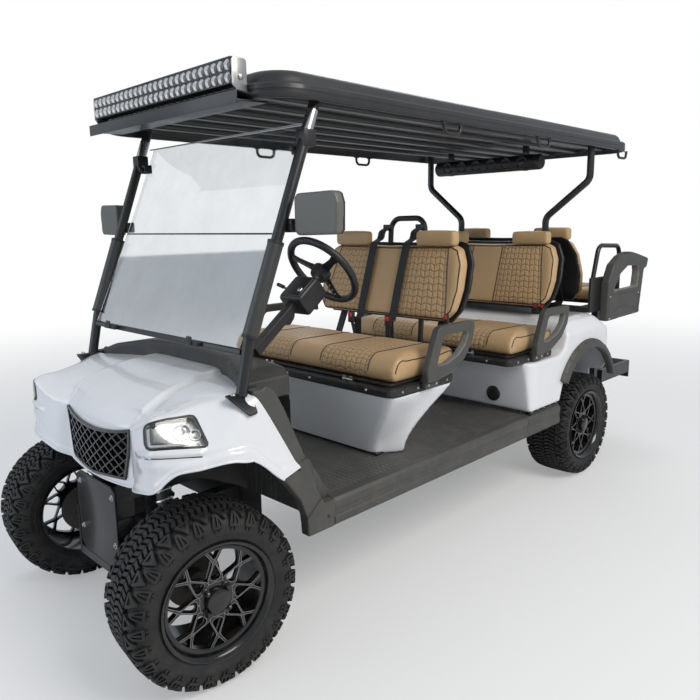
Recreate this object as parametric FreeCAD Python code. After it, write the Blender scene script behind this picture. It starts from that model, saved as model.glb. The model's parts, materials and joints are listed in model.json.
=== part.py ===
"""Six-seat lifted electric golf cart with rear-facing back seat, roof and folding windshield.

Millimetres. Stations along the cart are measured from the front axle, plus is rearwards.
+X is the cart's left, the driver's side, and the front of the cart faces -Y. Z is up from the ground.
The whole cart is moved along Y at the end, so that its origin is the bottom centre of its box.
"""
import FreeCAD, Part
import math
import os

os.makedirs("parts", exist_ok=True)

V = FreeCAD.Vector

# Wheels and running gear
TYRE_R = 292.0
TYRE_W = 250.0
BEAD_R = 181.0
RIM_LIP_R = 191.0
RIM_WALL = 7.0
RIM_W = 214.0
WHEEL_X = 497.0
KINGPIN_X = 380.0
SPINDLE_R = 20.0
STEER_REST_DEG = -6.9
RUN_GAP = 0.3
SPOKE_COUNT = 8
LUG_COUNT = 24
LUG_W = 34.0
LUG_DROP = 2.06

# Seats: the front bench is placed by its cushion's front edge, the second by the pitch behind it
SEAT_FRONT = 880.0
SEAT_PITCH = 880.0
SEAT_DROP = 18.0
SEAT_HALF = 540.0
SEAT_DEPTH = 428.0
TRAY_BACK = SEAT_DEPTH - 46.0
TRAY_HALF = SEAT_HALF + 26.0

# The rear axle stands behind the second bench, and all behind that follows the axle
AXLE_BEHIND_BENCH = 720.0
WHEELBASE = SEAT_FRONT + SEAT_PITCH + AXLE_BEHIND_BENCH

# Floor, rails and rockers
RAIL_X = 170.0
RAIL_W = 50.0
RAIL_Z0 = 380.0
RAIL_Z1 = 450.0
RAIL_FRONT = -60.0
RAIL_REAR = WHEELBASE + 820.0
FLOOR_Z = 474.0
FLOOR_FRONT = 474.0
SKIRT_Y = FLOOR_FRONT - 122.0
SKIRT_T = 6.0
SKIRT_TOP = 632.0
BODY_FRONT = SEAT_FRONT + SEAT_PITCH + 76.0
FLOOR_REAR = BODY_FRONT + 69.0
ROCKER_X = 607.0
ROCKER_W = 47.0
ROCKER_Z0 = 371.0
ROCKER_REAR = WHEELBASE - 320.0
ROCKER_JOINT = ROCKER_REAR - 332.0
SEAM = 0.3
SILL_H = 14.0

# Trays, cushions and backs
TRAY_Z = 762.0
TRAY_H = 33.0
PAN_H = 13.0
CUSHION_TOP = 928.0
BACK_HALF = 460.0
BACK_Z0 = 985.0
BACK_Z1 = 1345.0
BACK_FRONT = SEAT_DEPTH + 78.0
BACK_LEAN = 112.0
BACK_THICK = 78.0
SHELL_THICK = 22.0
HEADREST_Z1 = 1402.0
HEADREST_X0 = 157.0
HEADREST_X1 = 392.0
SOFT_GAP = 0.3

# Roof and its posts
ROOF_HALF = 597.0
ROOF_FRONT = 262.0
ROOF_REAR = WHEELBASE + 459.0
ROOF_Z0 = 1828.0
ROOF_RIM_Z = 1878.0
ROOF_CROWN_Z = ROOF_RIM_Z + 44.0
CEILING = ROOF_RIM_Z - 12.0
POST_R = 19.0
REAR_POST_Y = WHEELBASE + 23.0
REAR_POST_X_LOW = 292.0
REAR_POST_X_HIGH = 544.0

# Steering wheel
WHEEL_C = V(275.0, 748.0, 1259.0)
WHEEL_RIM_R = 154.0
WHEEL_TUBE_R = 15.0
COLUMN_TILT = 52.0
COLUMN_LEN = 495.0
COLUMN_HALF = 19.0

# Cowl shell
COWL_T = 10.0


def box(x0, x1, y0, y1, z0, z1):
    """Box between two corners."""
    return Part.makeBox(x1 - x0, y1 - y0, z1 - z0, V(x0, y0, z0))


def polygon(points):
    """Closed wire through points."""
    return Part.makePolygon(points + [points[0]])


def prism_x(profile, x0, x1):
    """Polygon given as (y, z), drawn out along X."""
    face = Part.Face(polygon([V(x0, y, z) for y, z in profile]))
    return face.extrude(V(x1 - x0, 0, 0))


def prism_y(profile, y0, y1):
    """Polygon given as (x, z), drawn out along Y."""
    face = Part.Face(polygon([V(x, y0, z) for x, z in profile]))
    return face.extrude(V(0, y1 - y0, 0))


def prism_z(profile, z0, z1):
    """Polygon given as (x, y), drawn out along Z."""
    face = Part.Face(polygon([V(x, y, z0) for x, y in profile]))
    return face.extrude(V(0, 0, z1 - z0))


def mirrored(shape):
    """The same shape on the cart's other side."""
    return shape.mirror(V(0, 0, 0), V(1, 0, 0))


def pair(shape):
    """A shape and its mirror image, as solids that don't touch."""
    return Part.makeCompound([shape, mirrored(shape)])


def both(half):
    """Half outline as (x, v) from the centre outwards, closed with its mirror image."""
    return half + [(-x, v) for x, v in reversed(half) if x > 0]


def rod(a, b, r):
    """Round bar between two points."""
    return Part.makeCylinder(r, (b - a).Length, a, b - a)


def join(shapes):
    """One solid of several that overlap or touch."""
    return shapes[0].multiFuse(shapes[1:]).removeSplitter()


def bent_bar(points, r, bend):
    """Round tube of straight runs joined by tangent arcs of radius bend."""
    edges = []
    here = points[0]
    for before, at, after in zip(points, points[1:], points[2:]):
        into = (at - before).normalize()
        out = (after - at).normalize()
        turn = into.getAngle(out)
        setback = bend * math.tan(turn / 2)
        start = at - into * setback
        end = at + out * setback
        mid_dir = (out - into).normalize()
        middle = at + mid_dir * (bend / math.cos(turn / 2) - bend)
        edges.append(Part.makeLine(here, start))
        edges.append(Part.Arc(start, middle, end).toShape())
        here = end
    edges.append(Part.makeLine(here, points[-1]))
    spine = Part.Wire(edges)
    along = (points[1] - points[0]).normalize()
    ring = Part.Wire(Part.Circle(points[0], along, r).toShape())
    return spine.makePipeShell([ring], True, False)


def turned_section(profile, centre_x, y, z):
    """Solid of revolution about the wheel axis: profile as (across, radius)."""
    wire = polygon([V(centre_x + a, y, z + r) for a, r in profile])
    return Part.Face(wire).revolve(V(centre_x, y, z), V(1, 0, 0), 360)


def rounded_plan(x_half, y0, y1, r, z0, z1):
    """Rectangle with rounded corners in plan, drawn out along Z."""
    solid = box(-x_half, x_half, y0, y1, z0, z1)
    upright = [e for e in solid.Edges if abs(e.tangentAt(e.FirstParameter).z) > 0.99]
    return solid.makeFillet(r, upright)


# Wheels

def faceted_ring(profile, count, centre):
    """Ring of flat faces about the wheel axis: closed profile as (across, radius)."""
    def corner(p, step):
        angle = 2 * math.pi * step / count
        return centre + V(p[0], p[1] * math.sin(angle), -p[1] * math.cos(angle))
    faces = []
    for step in range(count):
        for a, b in zip(profile, profile[1:] + profile[:1]):
            faces.append(Part.Face(polygon([corner(a, step), corner(b, step), corner(b, step + 1),
                                            corner(a, step + 1)])))
    return Part.Solid(Part.Shell(faces))


def tyre(y):
    """Tyre with its shoulder lugs, out to their tips, on the cart's left."""
    half = TYRE_W / 2
    centre = V(WHEEL_X, y, TYRE_R)
    bead = BEAD_R / math.cos(math.pi / LUG_COUNT)
    side = [(half - 27, bead), (half - 7, BEAD_R + 49), (half - 32, TYRE_R - 14)]
    carcass = faceted_ring(side + [(-a, r) for a, r in reversed(side)], LUG_COUNT, centre)
    if carcass.Volume < 0:
        carcass.reverse()
    tread = [(8, TYRE_R - 20), (8, TYRE_R), (half - 40, TYRE_R - LUG_DROP), (half, TYRE_R - 38),
             (half - 13, TYRE_R - 60), (half - 45, TYRE_R - 25)]
    face = Part.Face(polygon([V(a, -LUG_W / 2, -r) for a, r in tread]))
    lug = face.extrude(V(0, LUG_W, 0))
    lugs = []
    for hand in (0, 1):
        for index in range(LUG_COUNT):
            one = lug.copy()
            if hand:
                one = mirrored(one)
            one.rotate(V(0, 0, 0), V(1, 0, 0), 360.0 / LUG_COUNT * (index + hand / 2))
            one.translate(centre)
            lugs.append(one)
    return carcass.multiFuse(lugs).Solids[0]


def rim(y):
    """Rim with a barrel, a spoked face and a hub cap, on the cart's left."""
    half = RIM_W / 2
    seat_r = BEAD_R - RUN_GAP
    barrel = turned_section([
        (-half, seat_r - RIM_WALL),
        (half - 7, seat_r - RIM_WALL),
        (half + 8, RIM_LIP_R - RIM_WALL),
        (half + 8, RIM_LIP_R + 3),
        (half + 3.6, RIM_LIP_R + 3),
        (half - 8.4, seat_r),
        (-half, seat_r),
    ], WHEEL_X, y, TYRE_R)
    face_x = WHEEL_X + 62
    depth = 26
    hub = Part.makeCylinder(70, depth, V(face_x, y, TYRE_R), V(1, 0, 0))
    cap = Part.makeCylinder(42, 22, V(face_x + depth, y, TYRE_R), V(1, 0, 0))
    ring = turned_section([
        (62, seat_r - RIM_WALL - 14),
        (62, seat_r - RIM_WALL + 2),
        (88, seat_r - RIM_WALL + 2),
        (88, seat_r - RIM_WALL - 14),
    ], WHEEL_X, y, TYRE_R)
    centre = V(WHEEL_X, y, TYRE_R)
    spokes = []
    for index in range(SPOKE_COUNT):
        stem = box(face_x, face_x + depth, y - 9, y + 9, TYRE_R + 60, TYRE_R + 118)
        left = box(face_x, face_x + depth, y - 7, y + 7, TYRE_R + 108, TYRE_R + 172)
        left.rotate(V(WHEEL_X, y, TYRE_R + 112), V(1, 0, 0), 24)
        right = box(face_x, face_x + depth, y - 7, y + 7, TYRE_R + 108, TYRE_R + 172)
        right.rotate(V(WHEEL_X, y, TYRE_R + 112), V(1, 0, 0), -24)
        for bar in (stem, left, right):
            bar.rotate(centre, V(1, 0, 0), 360.0 / SPOKE_COUNT * index)
            spokes.append(bar)
    wheel = join([barrel, ring, hub, cap] + spokes)
    bore = Part.makeCylinder(SPINDLE_R + RUN_GAP, 200, V(face_x - 120, y, TYRE_R), V(1, 0, 0))
    return wheel.cut(bore.common(box(0, face_x + depth - 4, y - 50, y + 50, 0, 2 * TYRE_R)))


def steered(shape, side):
    """Turn a front piece with the wheels as they stand, about its own kingpin."""
    shape.rotate(V(side * KINGPIN_X, 0, 0), V(0, 0, 1), STEER_REST_DEG)
    return shape


# Front and rear running gear

ARM_LOW = (214.0, 236.0)
ARM_HIGH = (356.0, 378.0)
KINGPIN_R = 10.0


def knuckle():
    """Upright with kingpin, brake plate and spindle, on the cart's left."""
    post = box(KINGPIN_X - 17, KINGPIN_X + 17, -24, 24, ARM_LOW[1] + 0.5, ARM_HIGH[0] - 0.5)
    pin = rod(V(KINGPIN_X, 0, ARM_LOW[0] - 4), V(KINGPIN_X, 0, ARM_HIGH[1] + 4), KINGPIN_R)
    plate = Part.makeCylinder(96, 10, V(KINGPIN_X + 30, 0, TYRE_R), V(1, 0, 0))
    boss = Part.makeCylinder(38, 80, V(KINGPIN_X, 0, TYRE_R), V(1, 0, 0))
    spindle = Part.makeCylinder(SPINDLE_R, 200, V(KINGPIN_X, 0, TYRE_R), V(1, 0, 0))
    arm = box(KINGPIN_X - 14, KINGPIN_X + 6, 0, 105, TYRE_R - 30, TYRE_R - 14)
    return join([post, pin, plate, boss, spindle, arm])


def wishbone(z0, z1, spread):
    """Two tubes from the kingpin's eye to the cradle, on the cart's left."""
    mid = (z0 + z1) / 2
    eye = Part.makeCylinder(24, z1 - z0, V(KINGPIN_X, 0, z0))
    legs = [rod(V(KINGPIN_X - 12, s * 6, mid), V(196, s * spread, mid), 11) for s in (-1, 1)]
    hole = Part.makeCylinder(KINGPIN_R + RUN_GAP, 60, V(KINGPIN_X, 0, mid - 30))
    return join([eye] + legs).cut(hole)


def front_suspension():
    """Cradle, shock towers and double wishbones."""
    cradle = box(-200, 200, -112, 112, 205, 240)
    parts = [cradle]
    for side in (-1, 1):
        tower_x = sorted((side * 195, side * 213))
        parts.append(box(tower_x[0], tower_x[1], -112, 112, 205, 400))
        parts.append(box(tower_x[0], tower_x[1], -42, 42, 380, 640))
        top = sorted((side * 195, side * 262))
        parts.append(box(top[0], top[1], -42, 42, 628, 640))
        bone_low = wishbone(*ARM_LOW, 100)
        bone_high = wishbone(*ARM_HIGH, 100)
        if side < 0:
            bone_low = mirrored(bone_low)
            bone_high = mirrored(bone_high)
        parts += [bone_low, bone_high]
    return join(parts)


def coil_over():
    """Front shock absorber with its coil spring's outline, on the cart's left."""
    foot = V(312, 0, 252)
    head = V(238, 0, 627)
    along = (head - foot).normalize()
    body = rod(foot, head, 11)
    spring = rod(foot + along * 132, foot + along * 350, 27)
    seat = rod(foot + along * 118, foot + along * 133, 32)
    bracket = box(296, 328, -40, 40, 236.5, 252)
    trimmed = join([body, spring, seat]).cut(box(100, 400, -60, 60, 627, 700))
    return join([trimmed, bracket])


def leaf_spring(y):
    """Stacked leaves under one end of the rear axle, on the cart's left."""
    parts = []
    for length, low in ((700, 236), (520, 228), (340, 220)):
        parts.append(box(275, 325, y - length / 2, y + length / 2, low, low + 9))
    for end in (-1, 1):
        hanger = y + end * 345
        parts.append(box(280, 320, hanger - 14, hanger + 14, 236, RAIL_Z0 + 10))
    parts.append(box(278, 322, y - 45, y + 45, 240, 262))
    return join(parts)


def rear_axle(y):
    """Axle tube, final drive and the drive motor as one plain block."""
    tube = rod(V(-432, y, TYRE_R), V(432, y, TYRE_R), 30)
    spindle = rod(V(-580, y, TYRE_R), V(580, y, TYRE_R), SPINDLE_R)
    drums = [Part.makeCylinder(96, 10, V(s * 415 - 5, y, TYRE_R), V(1, 0, 0)) for s in (-1, 1)]
    case = Part.makeCylinder(92, 120, V(-40, y, TYRE_R), V(1, 0, 0))
    motor = Part.makeCylinder(84, 200, V(60, y + 130, TYRE_R - 2), V(1, 0, 0))
    neck = box(-20, 70, y, y + 150, TYRE_R - 50, TYRE_R + 60)
    return join([tube, spindle, case, motor, neck] + drums)


# Frame and floor

CROSS_MEMBERS = (  # station, half length
    (500.0, 560.0),
    (SEAT_FRONT + 120.0, 560.0),
    (SEAT_FRONT + 620.0, 560.0),
    (ROCKER_REAR - 170.0, 560.0),
    (WHEELBASE - 345.0, 330.0),
    (WHEELBASE + 345.0, 330.0),
    (WHEELBASE + 470.0, 445.0),
    (WHEELBASE + 720.0, 400.0),
)


def frame_rails():
    """Ladder frame: two box rails and their cross members."""
    parts = []
    for side in (-1, 1):
        x = side * RAIL_X
        parts.append(box(x - RAIL_W / 2, x + RAIL_W / 2, RAIL_FRONT, RAIL_REAR, RAIL_Z0, RAIL_Z1))
    for y, half in CROSS_MEMBERS:
        parts.append(box(-half, half, y - 25, y + 25, RAIL_Z0 + 10, RAIL_Z1))
    return join(parts)


def floor_panel():
    """Flat floor with its tread mat, rising to the toe board, and the skirt that shuts off the wheel room."""
    toe = [
        (FLOOR_REAR, RAIL_Z1), (FLOOR_REAR, FLOOR_Z), (FLOOR_FRONT + 20, FLOOR_Z),
        (392, 640), (380, 632), (FLOOR_FRONT - 20, RAIL_Z1),
    ]
    half = ROCKER_X - ROCKER_W - SEAM
    plinth = box(-half, half, BODY_FRONT + 40, FLOOR_REAR, FLOOR_Z - 1, FLOOR_Z + SILL_H - SEAM)
    skirt = box(-half, half, SKIRT_Y, SKIRT_Y + SKIRT_T, RAIL_Z1 + 2, SKIRT_TOP)
    ledge = box(-half, half, SKIRT_Y, SKIRT_Y + 32, SKIRT_TOP - SKIRT_T, SKIRT_TOP)
    return join([prism_x(toe, -half, half), plinth, skirt, ledge])


def rockers():
    """Side rails under the doors' openings: a long front length and a short rear one, each side."""
    outer = ROCKER_X
    inner = ROCKER_X - ROCKER_W
    section = [
        (inner, ROCKER_Z0), (outer - 6, ROCKER_Z0), (outer, ROCKER_Z0 + 8),
        (outer, FLOOR_Z - 10), (outer - 10, FLOOR_Z), (inner, FLOOR_Z),
    ]
    front = prism_y(section, FLOOR_FRONT + 0.5, ROCKER_JOINT - 1)
    rear = prism_y(section, ROCKER_JOINT + 1, ROCKER_REAR)
    sill = box(inner + 20, outer - 12, BODY_FRONT + 30, ROCKER_REAR, FLOOR_Z - 1, FLOOR_Z + SILL_H - SEAM)
    rear = join([rear, sill])
    return Part.makeCompound([front, rear, mirrored(front), mirrored(rear)])


# Cowl, grille, lamps

COWL_SECTIONS = (  # station, then (x, z) from the centre to the side
    (-230.0, ((0, 700), (240, 735), (430, 790), (480, 745), (560, 640), (585, 600))),
    (-150.0, ((0, 768), (240, 781), (430, 848), (482, 808), (562, 705), (590, 640))),
    (0.0, ((0, 866), (240, 870), (430, 892), (492, 858), (576, 755), (606, 680))),
    (165.0, ((0, 908), (240, 913), (430, 917), (548, 912), (584, 868), (612, 690))),
    (330.0, ((0, 918), (240, 921), (430, 917), (548, 900), (590, 840), (620, 660))),
)
COWL_PLAN = (
    (0, -121), (235, -126), (430, -148), (488, -122), (545, -40),
    (588, 45), (612, 140), (622, 330), (0, 330),
)
COWL_LIP_FRONT = (
    (0, 576), (63, 579), (205, 588), (295, 602), (397, 625), (458, 652), (497, 683), (520, 695), (556, 705),
    (590, 718), (606, 718), (640, 716),
)
COWL_LIP_SIDE = ((118, 714), (136, 706), (161, 686), (193, 651), (228, 624))
COWL_TIP_REAR = (298, 647)
COWL_BOTTOM = 450.0


def cowl_block(inset):
    """Closed body of the front cowl, its skin moved inwards by inset."""
    wires = []
    for y, half in COWL_SECTIONS:
        top = [(x - (inset if x > 250 else 0), z - inset) for x, z in half]
        low = (half[-1][0] + 4 - inset, COWL_BOTTOM)
        outline = both(top + [low])
        wires.append(polygon([V(x, y, z) for x, z in outline]))
    lofted = Part.makeLoft(wires, True, True)
    face = Part.Face(polygon([V(x, y, COWL_BOTTOM) for x, y in both(list(COWL_PLAN))]))
    if inset:
        face = face.makeOffset2D(-inset, 2)
    return lofted.common(face.extrude(V(0, 0, 600)))


def cowl_cutters():
    """What is open below and behind the cowl."""
    below = prism_y(both(list(COWL_LIP_FRONT) + [(640, 440), (0, 440)]), -260, 118)
    tip_y, tip_z = COWL_LIP_SIDE[-1]
    arch = [(118, 440)] + list(COWL_LIP_SIDE) + [(tip_y, 440)]
    below_rear = prism_x(arch, -660, 660)
    behind_low = prism_x([(tip_y, 430), (tip_y, tip_z), COWL_TIP_REAR, (420, 647), (420, 430)], -660, 660)
    side = [(163, 922), (298, 647), (420, 647), (420, 1000), (163, 1000)]
    behind = [prism_x(side, 470, 660), prism_x(side, -660, -470)]
    edge = both([(0, 287), (160, 281), (300, 250), (400, 210), (470, 172), (470, 420), (0, 420)])
    top = prism_z(edge, 640, 1000)
    return below, below_rear, behind_low, behind[0], behind[1], top


GRILLE_OUTLINE = ((0, 760), (60, 758), (150, 772), (232, 788), (240, 780), (228, 700), (200, 608), (0, 590))
GRILLE_BORDER = 12.0
MESH_PITCH_X = 52.0
MESH_PITCH_Z = 32.0
MESH_BAR = 6.0
GRILLE_Y = (-124.0, -114.0)
LAMP_AT = V(430.0, -144.0, 0.0)
LAMP_ALONG = V(75.0, 142.0, 0.0)
LAMP_OUTLINE = ((2, 783), (0, 838), (12, 848), (146, 856), (156, 850), (182, 768), (176, 762))
LAMP_BORDER = 9.0


def grille_face(offset):
    """Outline of the grille's opening, moved by offset, as a face at the nose."""
    points = [V(x, GRILLE_Y[0], z) for x, z in both(list(GRILLE_OUTLINE))]
    face = Part.Face(polygon(points))
    return face.makeOffset2D(offset, 2) if offset else face


def lamp_prism(offset):
    """Headlamp outline on the left, moved by offset, drawn through the cowl's corner."""
    along = V(LAMP_ALONG).normalize()
    normal = along.cross(V(0, 0, 1))
    points = [LAMP_AT + along * s + V(0, 0, z) - normal * 120 for s, z in LAMP_OUTLINE]
    face = Part.Face(polygon(points))
    if offset:
        face = face.makeOffset2D(offset, 2)
    return face.extrude(normal * 240)


def front_cowl():
    """Bonnet and front wings, one moulding with openings for grille and lamps."""
    shell = cowl_block(0).cut(cowl_block(COWL_T))
    hole = grille_face(0).extrude(V(0, -60, 0)).fuse(grille_face(0).extrude(V(0, 120, 0)))
    shell = shell.cut(hole)
    opening = lamp_prism(LAMP_BORDER + RUN_GAP)
    cutters = [opening, mirrored(opening)] + list(cowl_cutters())
    for cutter in cutters:
        shell = shell.cut(cutter)
    return max(shell.Solids, key=lambda s: s.Volume)


def grille():
    """Border with a diamond mesh."""
    depth = GRILLE_Y[1] - GRILLE_Y[0]
    whole = grille_face(-RUN_GAP).extrude(V(0, depth, 0))
    holes = []
    for row in range(-5, 6):
        for column in range(-6, 7):
            x = (column + (row % 2) / 2) * MESH_PITCH_X
            z = 680 + row * MESH_PITCH_Z / 2
            half_x = MESH_PITCH_X / 2 - MESH_BAR
            half_z = MESH_PITCH_Z / 2 - MESH_BAR * MESH_PITCH_Z / MESH_PITCH_X
            holes.append(prism_y([(x - half_x, z), (x, z - half_z), (x + half_x, z), (x, z + half_z)],
                                 GRILLE_Y[0] - 5, GRILLE_Y[1] + 5))
    mesh = Part.makeCompound(holes).common(grille_face(-GRILLE_BORDER).extrude(V(0, depth, 0)))
    return whole.cut(mesh)


def headlamps():
    """Clear lenses and the dark bezels with their bowls behind."""
    outer = cowl_block(0.5)
    band = outer.cut(cowl_block(4.5))
    lens = lamp_prism(-RUN_GAP).common(band)
    deep = outer.cut(cowl_block(34))
    bowl = lamp_prism(LAMP_BORDER).common(deep)
    pocket = lamp_prism(0).common(outer.cut(cowl_block(24)))
    bezel = bowl.cut(pocket)
    lens = max(lens.Solids, key=lambda s: s.Volume)
    bezel = max(bezel.Solids, key=lambda s: s.Volume)
    return pair(lens), pair(bezel)


BUMPER_HOLE_X = 125.0
BUMPER_HOLE_Z = (350.0, 526.0)
BUMPER_HOLE_R = 5.5


def bumper_plate():
    """Flat plate below the grille with side returns to the rails."""
    outline = both([(0, 250), (118, 250), (146, 290), (150, 548), (120, 566), (0, 566)])
    plate = prism_y(outline, -127, -121)
    for x in (-BUMPER_HOLE_X, BUMPER_HOLE_X):
        for z in BUMPER_HOLE_Z:
            plate = plate.cut(Part.makeCylinder(BUMPER_HOLE_R, 20, V(x, -135, z), V(0, 1, 0)))
    parts = [plate]
    for side in (-1, 1):
        xs = sorted((side * 138, side * 144.7))
        parts.append(box(xs[0], xs[1], -122, 10, 385, 445))
    return join(parts)


# Dash

STRIP_SIDE = (
    (163, 921.7), (209, 921.7), (213, 934), (262, 902), (326, 799), (372, 690), (396, 590), (412, 500),
    (430, FLOOR_Z), (FLOOR_FRONT, FLOOR_Z), (FLOOR_FRONT, ROCKER_Z0), (348, ROCKER_Z0),
    (341, 447), (312, 520), (262, 586), (229, 623.7), (298.5, 646.6),
)
STRIP_OUT = ((563, 940), (563, 922), (596, 760), (612, 650), (609, 540), (607, 371))
DASH_PROFILE = (
    (150, 860), (150, 990), (330, 985), (392, 950), (436, 880), (430, 780), (400, 655), (384, 640),
    (372, 640), (372, 860),
)


DASH_HALF = 498.0


def dash_panel():
    """Crowned dash block between the side strips, before it is hollowed."""
    dash = prism_x(list(DASH_PROFILE), -DASH_HALF, DASH_HALF)
    crown = prism_y(both([(0, 998), (250, 990), (430, 960), (500, 930), (500, 600), (0, 600)]), 100, 500)
    front = prism_z(both([(0, 287.3), (160, 281.3), (300, 250.3), (400, 210.3), (470.3, 173),
                          (500, 171), (500, 520), (0, 520)]), 600, 1010)
    return dash.common(crown).common(front)


def dash_shroud(cowl):
    """Dark cover behind the bonnet, dash face and the strips down to the rockers."""
    out = list(STRIP_OUT)
    band = prism_y(out + [(x - 44, z) for x, z in reversed(out)], 100, 500)
    strip = prism_x(list(STRIP_SIDE), 500, 640).common(band)
    dash = dash_panel()
    hollow = prism_x([(100, 640), (100, 897), (376, 897), (376, 640)], -DASH_HALF, DASH_HALF)
    dash = dash.cut(hollow)
    return join([dash, strip, mirrored(strip)]).cut(cowl)


def pedals():
    """Brake and accelerator pads on their arms, rising from the toe board."""
    parts = []
    for x, half in ((210.0, 42.0), (335.0, 30.0)):
        pad = box(x - half, x + half, 470, 482, 560, 640)
        pad.rotate(V(x, 476, 600), V(1, 0, 0), 28)
        arm = rod(V(x, 476, 600), V(x, 428, 562), 7)
        cut = prism_x([(FLOOR_FRONT + 20, FLOOR_Z), (392, 640), (300, 640), (300, 400)], x - 60, x + 60)
        parts.append(join([pad, arm]).cut(cut))
    return Part.makeCompound(parts)


# Seat boxes

def seat_pod():
    """White box under the front bench, wider at the top, open on top."""
    def ring(z, front_x, rear_x, y0, y1):
        half = [(0, y0), (front_x - 40, y0), (front_x, y0 + 40), (rear_x, y1 - 25), (rear_x - 25, y1), (0, y1)]
        return polygon([V(x, y, z) for x, y in both(half)])
    rows = (  # z, half width front, half width rear, front and rear behind the cushion's front edge
        (FLOOR_Z + SEAM, 415.0, 468.0, 25.0, 165.0),
        (545.0, 432.0, 484.0, 16.0, 182.0),
        (640.0, 490.0, 520.0, 0.0, 250.0),
        (735.0, TRAY_HALF - 18, TRAY_HALF - 10, -30.0, TRAY_BACK - 26),
        (TRAY_Z - SEAM, TRAY_HALF - 6, TRAY_HALF - 6, -40.0, TRAY_BACK - 4),
    )
    levels = [(z, fx, rx, SEAT_FRONT + y0, SEAT_FRONT + y1) for z, fx, rx, y0, y1 in rows]
    outer = Part.makeLoft([ring(*level) for level in levels], True, True)
    wall = 8.0
    inner_levels = [(z + (wall if z < 500 else 0) + (1 if z > 750 else 0), fx - wall, rx - wall, y0 + wall, y1 - wall)
                    for z, fx, rx, y0, y1 in levels]
    inner = Part.makeLoft([ring(*level) for level in inner_levels], True, True)
    return outer.cut(inner)


BODY_TOP = 922.0
REAR_END = WHEELBASE + 285.0
REAR_HALF = 600.0
ARCH_R = 322.0
ARCH_Y = WHEELBASE - 8.0
ARCH_Z = 430.0
ARCH_X = 480.0
ARCH_DEPTH = 250.0


def rear_block(inset):
    """Closed form of the rear body."""
    low_front = FLOOR_Z + SILL_H
    bench_rear = SEAT_FRONT + SEAT_PITCH + TRAY_BACK
    step = TRAY_Z - SEAT_DROP
    profile = [(BODY_FRONT + 2 + inset, step - inset), (BODY_FRONT + 26 + inset, low_front + inset),
               (REAR_END - inset, low_front + inset), (REAR_END - inset, 720),
               (REAR_END - 37 - inset, 822 - inset), (REAR_END - 125 - inset, 892 - inset),
               (REAR_END - 175, BODY_TOP - inset), (bench_rear + 188, BODY_TOP - inset),
               (bench_rear + 143, BODY_TOP - 14 - inset), (bench_rear + 96, BODY_TOP - 60 - inset),
               (bench_rear + 56, step + 24 - inset), (bench_rear + 2, step - inset)]
    solid = prism_x(profile, -700, 700)
    plan = rounded_plan(REAR_HALF - inset, BODY_FRONT + inset, REAR_END - inset, 62, 400, 1000)
    crown = prism_y(both([(0, 930 - inset), (505 - inset, 930 - inset), (560 - inset, 905 - inset),
                          (596 - inset, 840 - inset), (602 - inset, 760), (602 - inset, 400), (0, 400)]), 1800, 2800)
    return solid.common(plan).common(crown)


def rear_body():
    """White rear body: hollow, open below, with the two wheel arches."""
    low = FLOOR_Z + SILL_H
    body = rear_block(0).cut(rear_block(8))
    body = body.cut(box(-650, 650, BODY_FRONT + 64, REAR_END + 15, 400, low + 9))
    for x in (ARCH_X, -ARCH_X - ARCH_DEPTH):
        body = body.cut(Part.makeCylinder(ARCH_R, ARCH_DEPTH, V(x, ARCH_Y, ARCH_Z), V(1, 0, 0)))
    return max(body.Solids, key=lambda s: s.Volume)


def fender_flares():
    """Dark bolted-on lips round the rear arches."""
    outer = Part.makeCylinder(ARCH_R + 42, 40, V(590, ARCH_Y, ARCH_Z), V(1, 0, 0))
    inner = Part.makeCylinder(ARCH_R - 8, 60, V(580, ARCH_Y, ARCH_Z), V(1, 0, 0))
    ring = outer.cut(inner)
    keep = prism_x([(ARCH_Y - 296, 560), (ARCH_Y - 296, 900), (ARCH_Y + 318, 900), (ARCH_Y + 318, 552),
                    (ARCH_Y + 128, 552)], 580, 640)
    lip = ring.common(keep).cut(rear_block(-SEAM))
    return pair(max(lip.Solids, key=lambda s: s.Volume))


def tail_lamps():
    """Red lamps on the rear body's back face."""
    lamp = box(420, 530, REAR_END + SEAM, REAR_END + 14, 600, 690)
    rear_edges = [e for e in lamp.Edges if e.BoundBox.YMin > REAR_END + 13]
    return pair(lamp.makeFillet(5, rear_edges))


def seat_trays():
    """Black rims that carry the front and second cushions."""
    trays = []
    for offset, drop in ((0.0, 0.0), (SEAT_PITCH, SEAT_DROP)):
        y0 = SEAT_FRONT - 52 + offset
        y1 = SEAT_FRONT + TRAY_BACK + offset
        outer = rounded_plan(TRAY_HALF, y0, y1, 40, TRAY_Z - drop, TRAY_Z + TRAY_H - drop)
        inner = rounded_plan(470, y0 + 60, y1 - 60, 30, TRAY_Z - drop - 5, TRAY_Z + TRAY_H - drop + 5)
        trays.append(outer.cut(inner))
    return Part.makeCompound(trays)


def bench_cushion(offset, drop):
    """Seat cushion on its black pan, on the cart's centre line."""
    y0 = SEAT_FRONT + offset
    z0 = TRAY_Z + TRAY_H + SOFT_GAP - drop
    pan = rounded_plan(SEAT_HALF - 10, y0 - 20, y0 + SEAT_DEPTH - 6, 30, z0, z0 + PAN_H)
    profile = [(y0, z0 + PAN_H), (y0 - 8, z0 + 50), (y0 + 24, CUSHION_TOP - drop - 20), (y0 + 50, CUSHION_TOP - drop),
               (y0 + SEAT_DEPTH - 30, CUSHION_TOP - drop - 4), (y0 + SEAT_DEPTH, CUSHION_TOP - drop - 40),
               (y0 + SEAT_DEPTH, z0 + PAN_H)]
    soft = prism_x(profile, -SEAT_HALF, SEAT_HALF)
    sides = [e for e in soft.Edges if abs(abs(e.BoundBox.XMin) - SEAT_HALF) < 1 and e.BoundBox.XLength < 1
             and e.BoundBox.ZMin > z0 + 60]
    soft = soft.makeFillet(22, sides)
    return pan.fuse(soft).removeSplitter()


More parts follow.
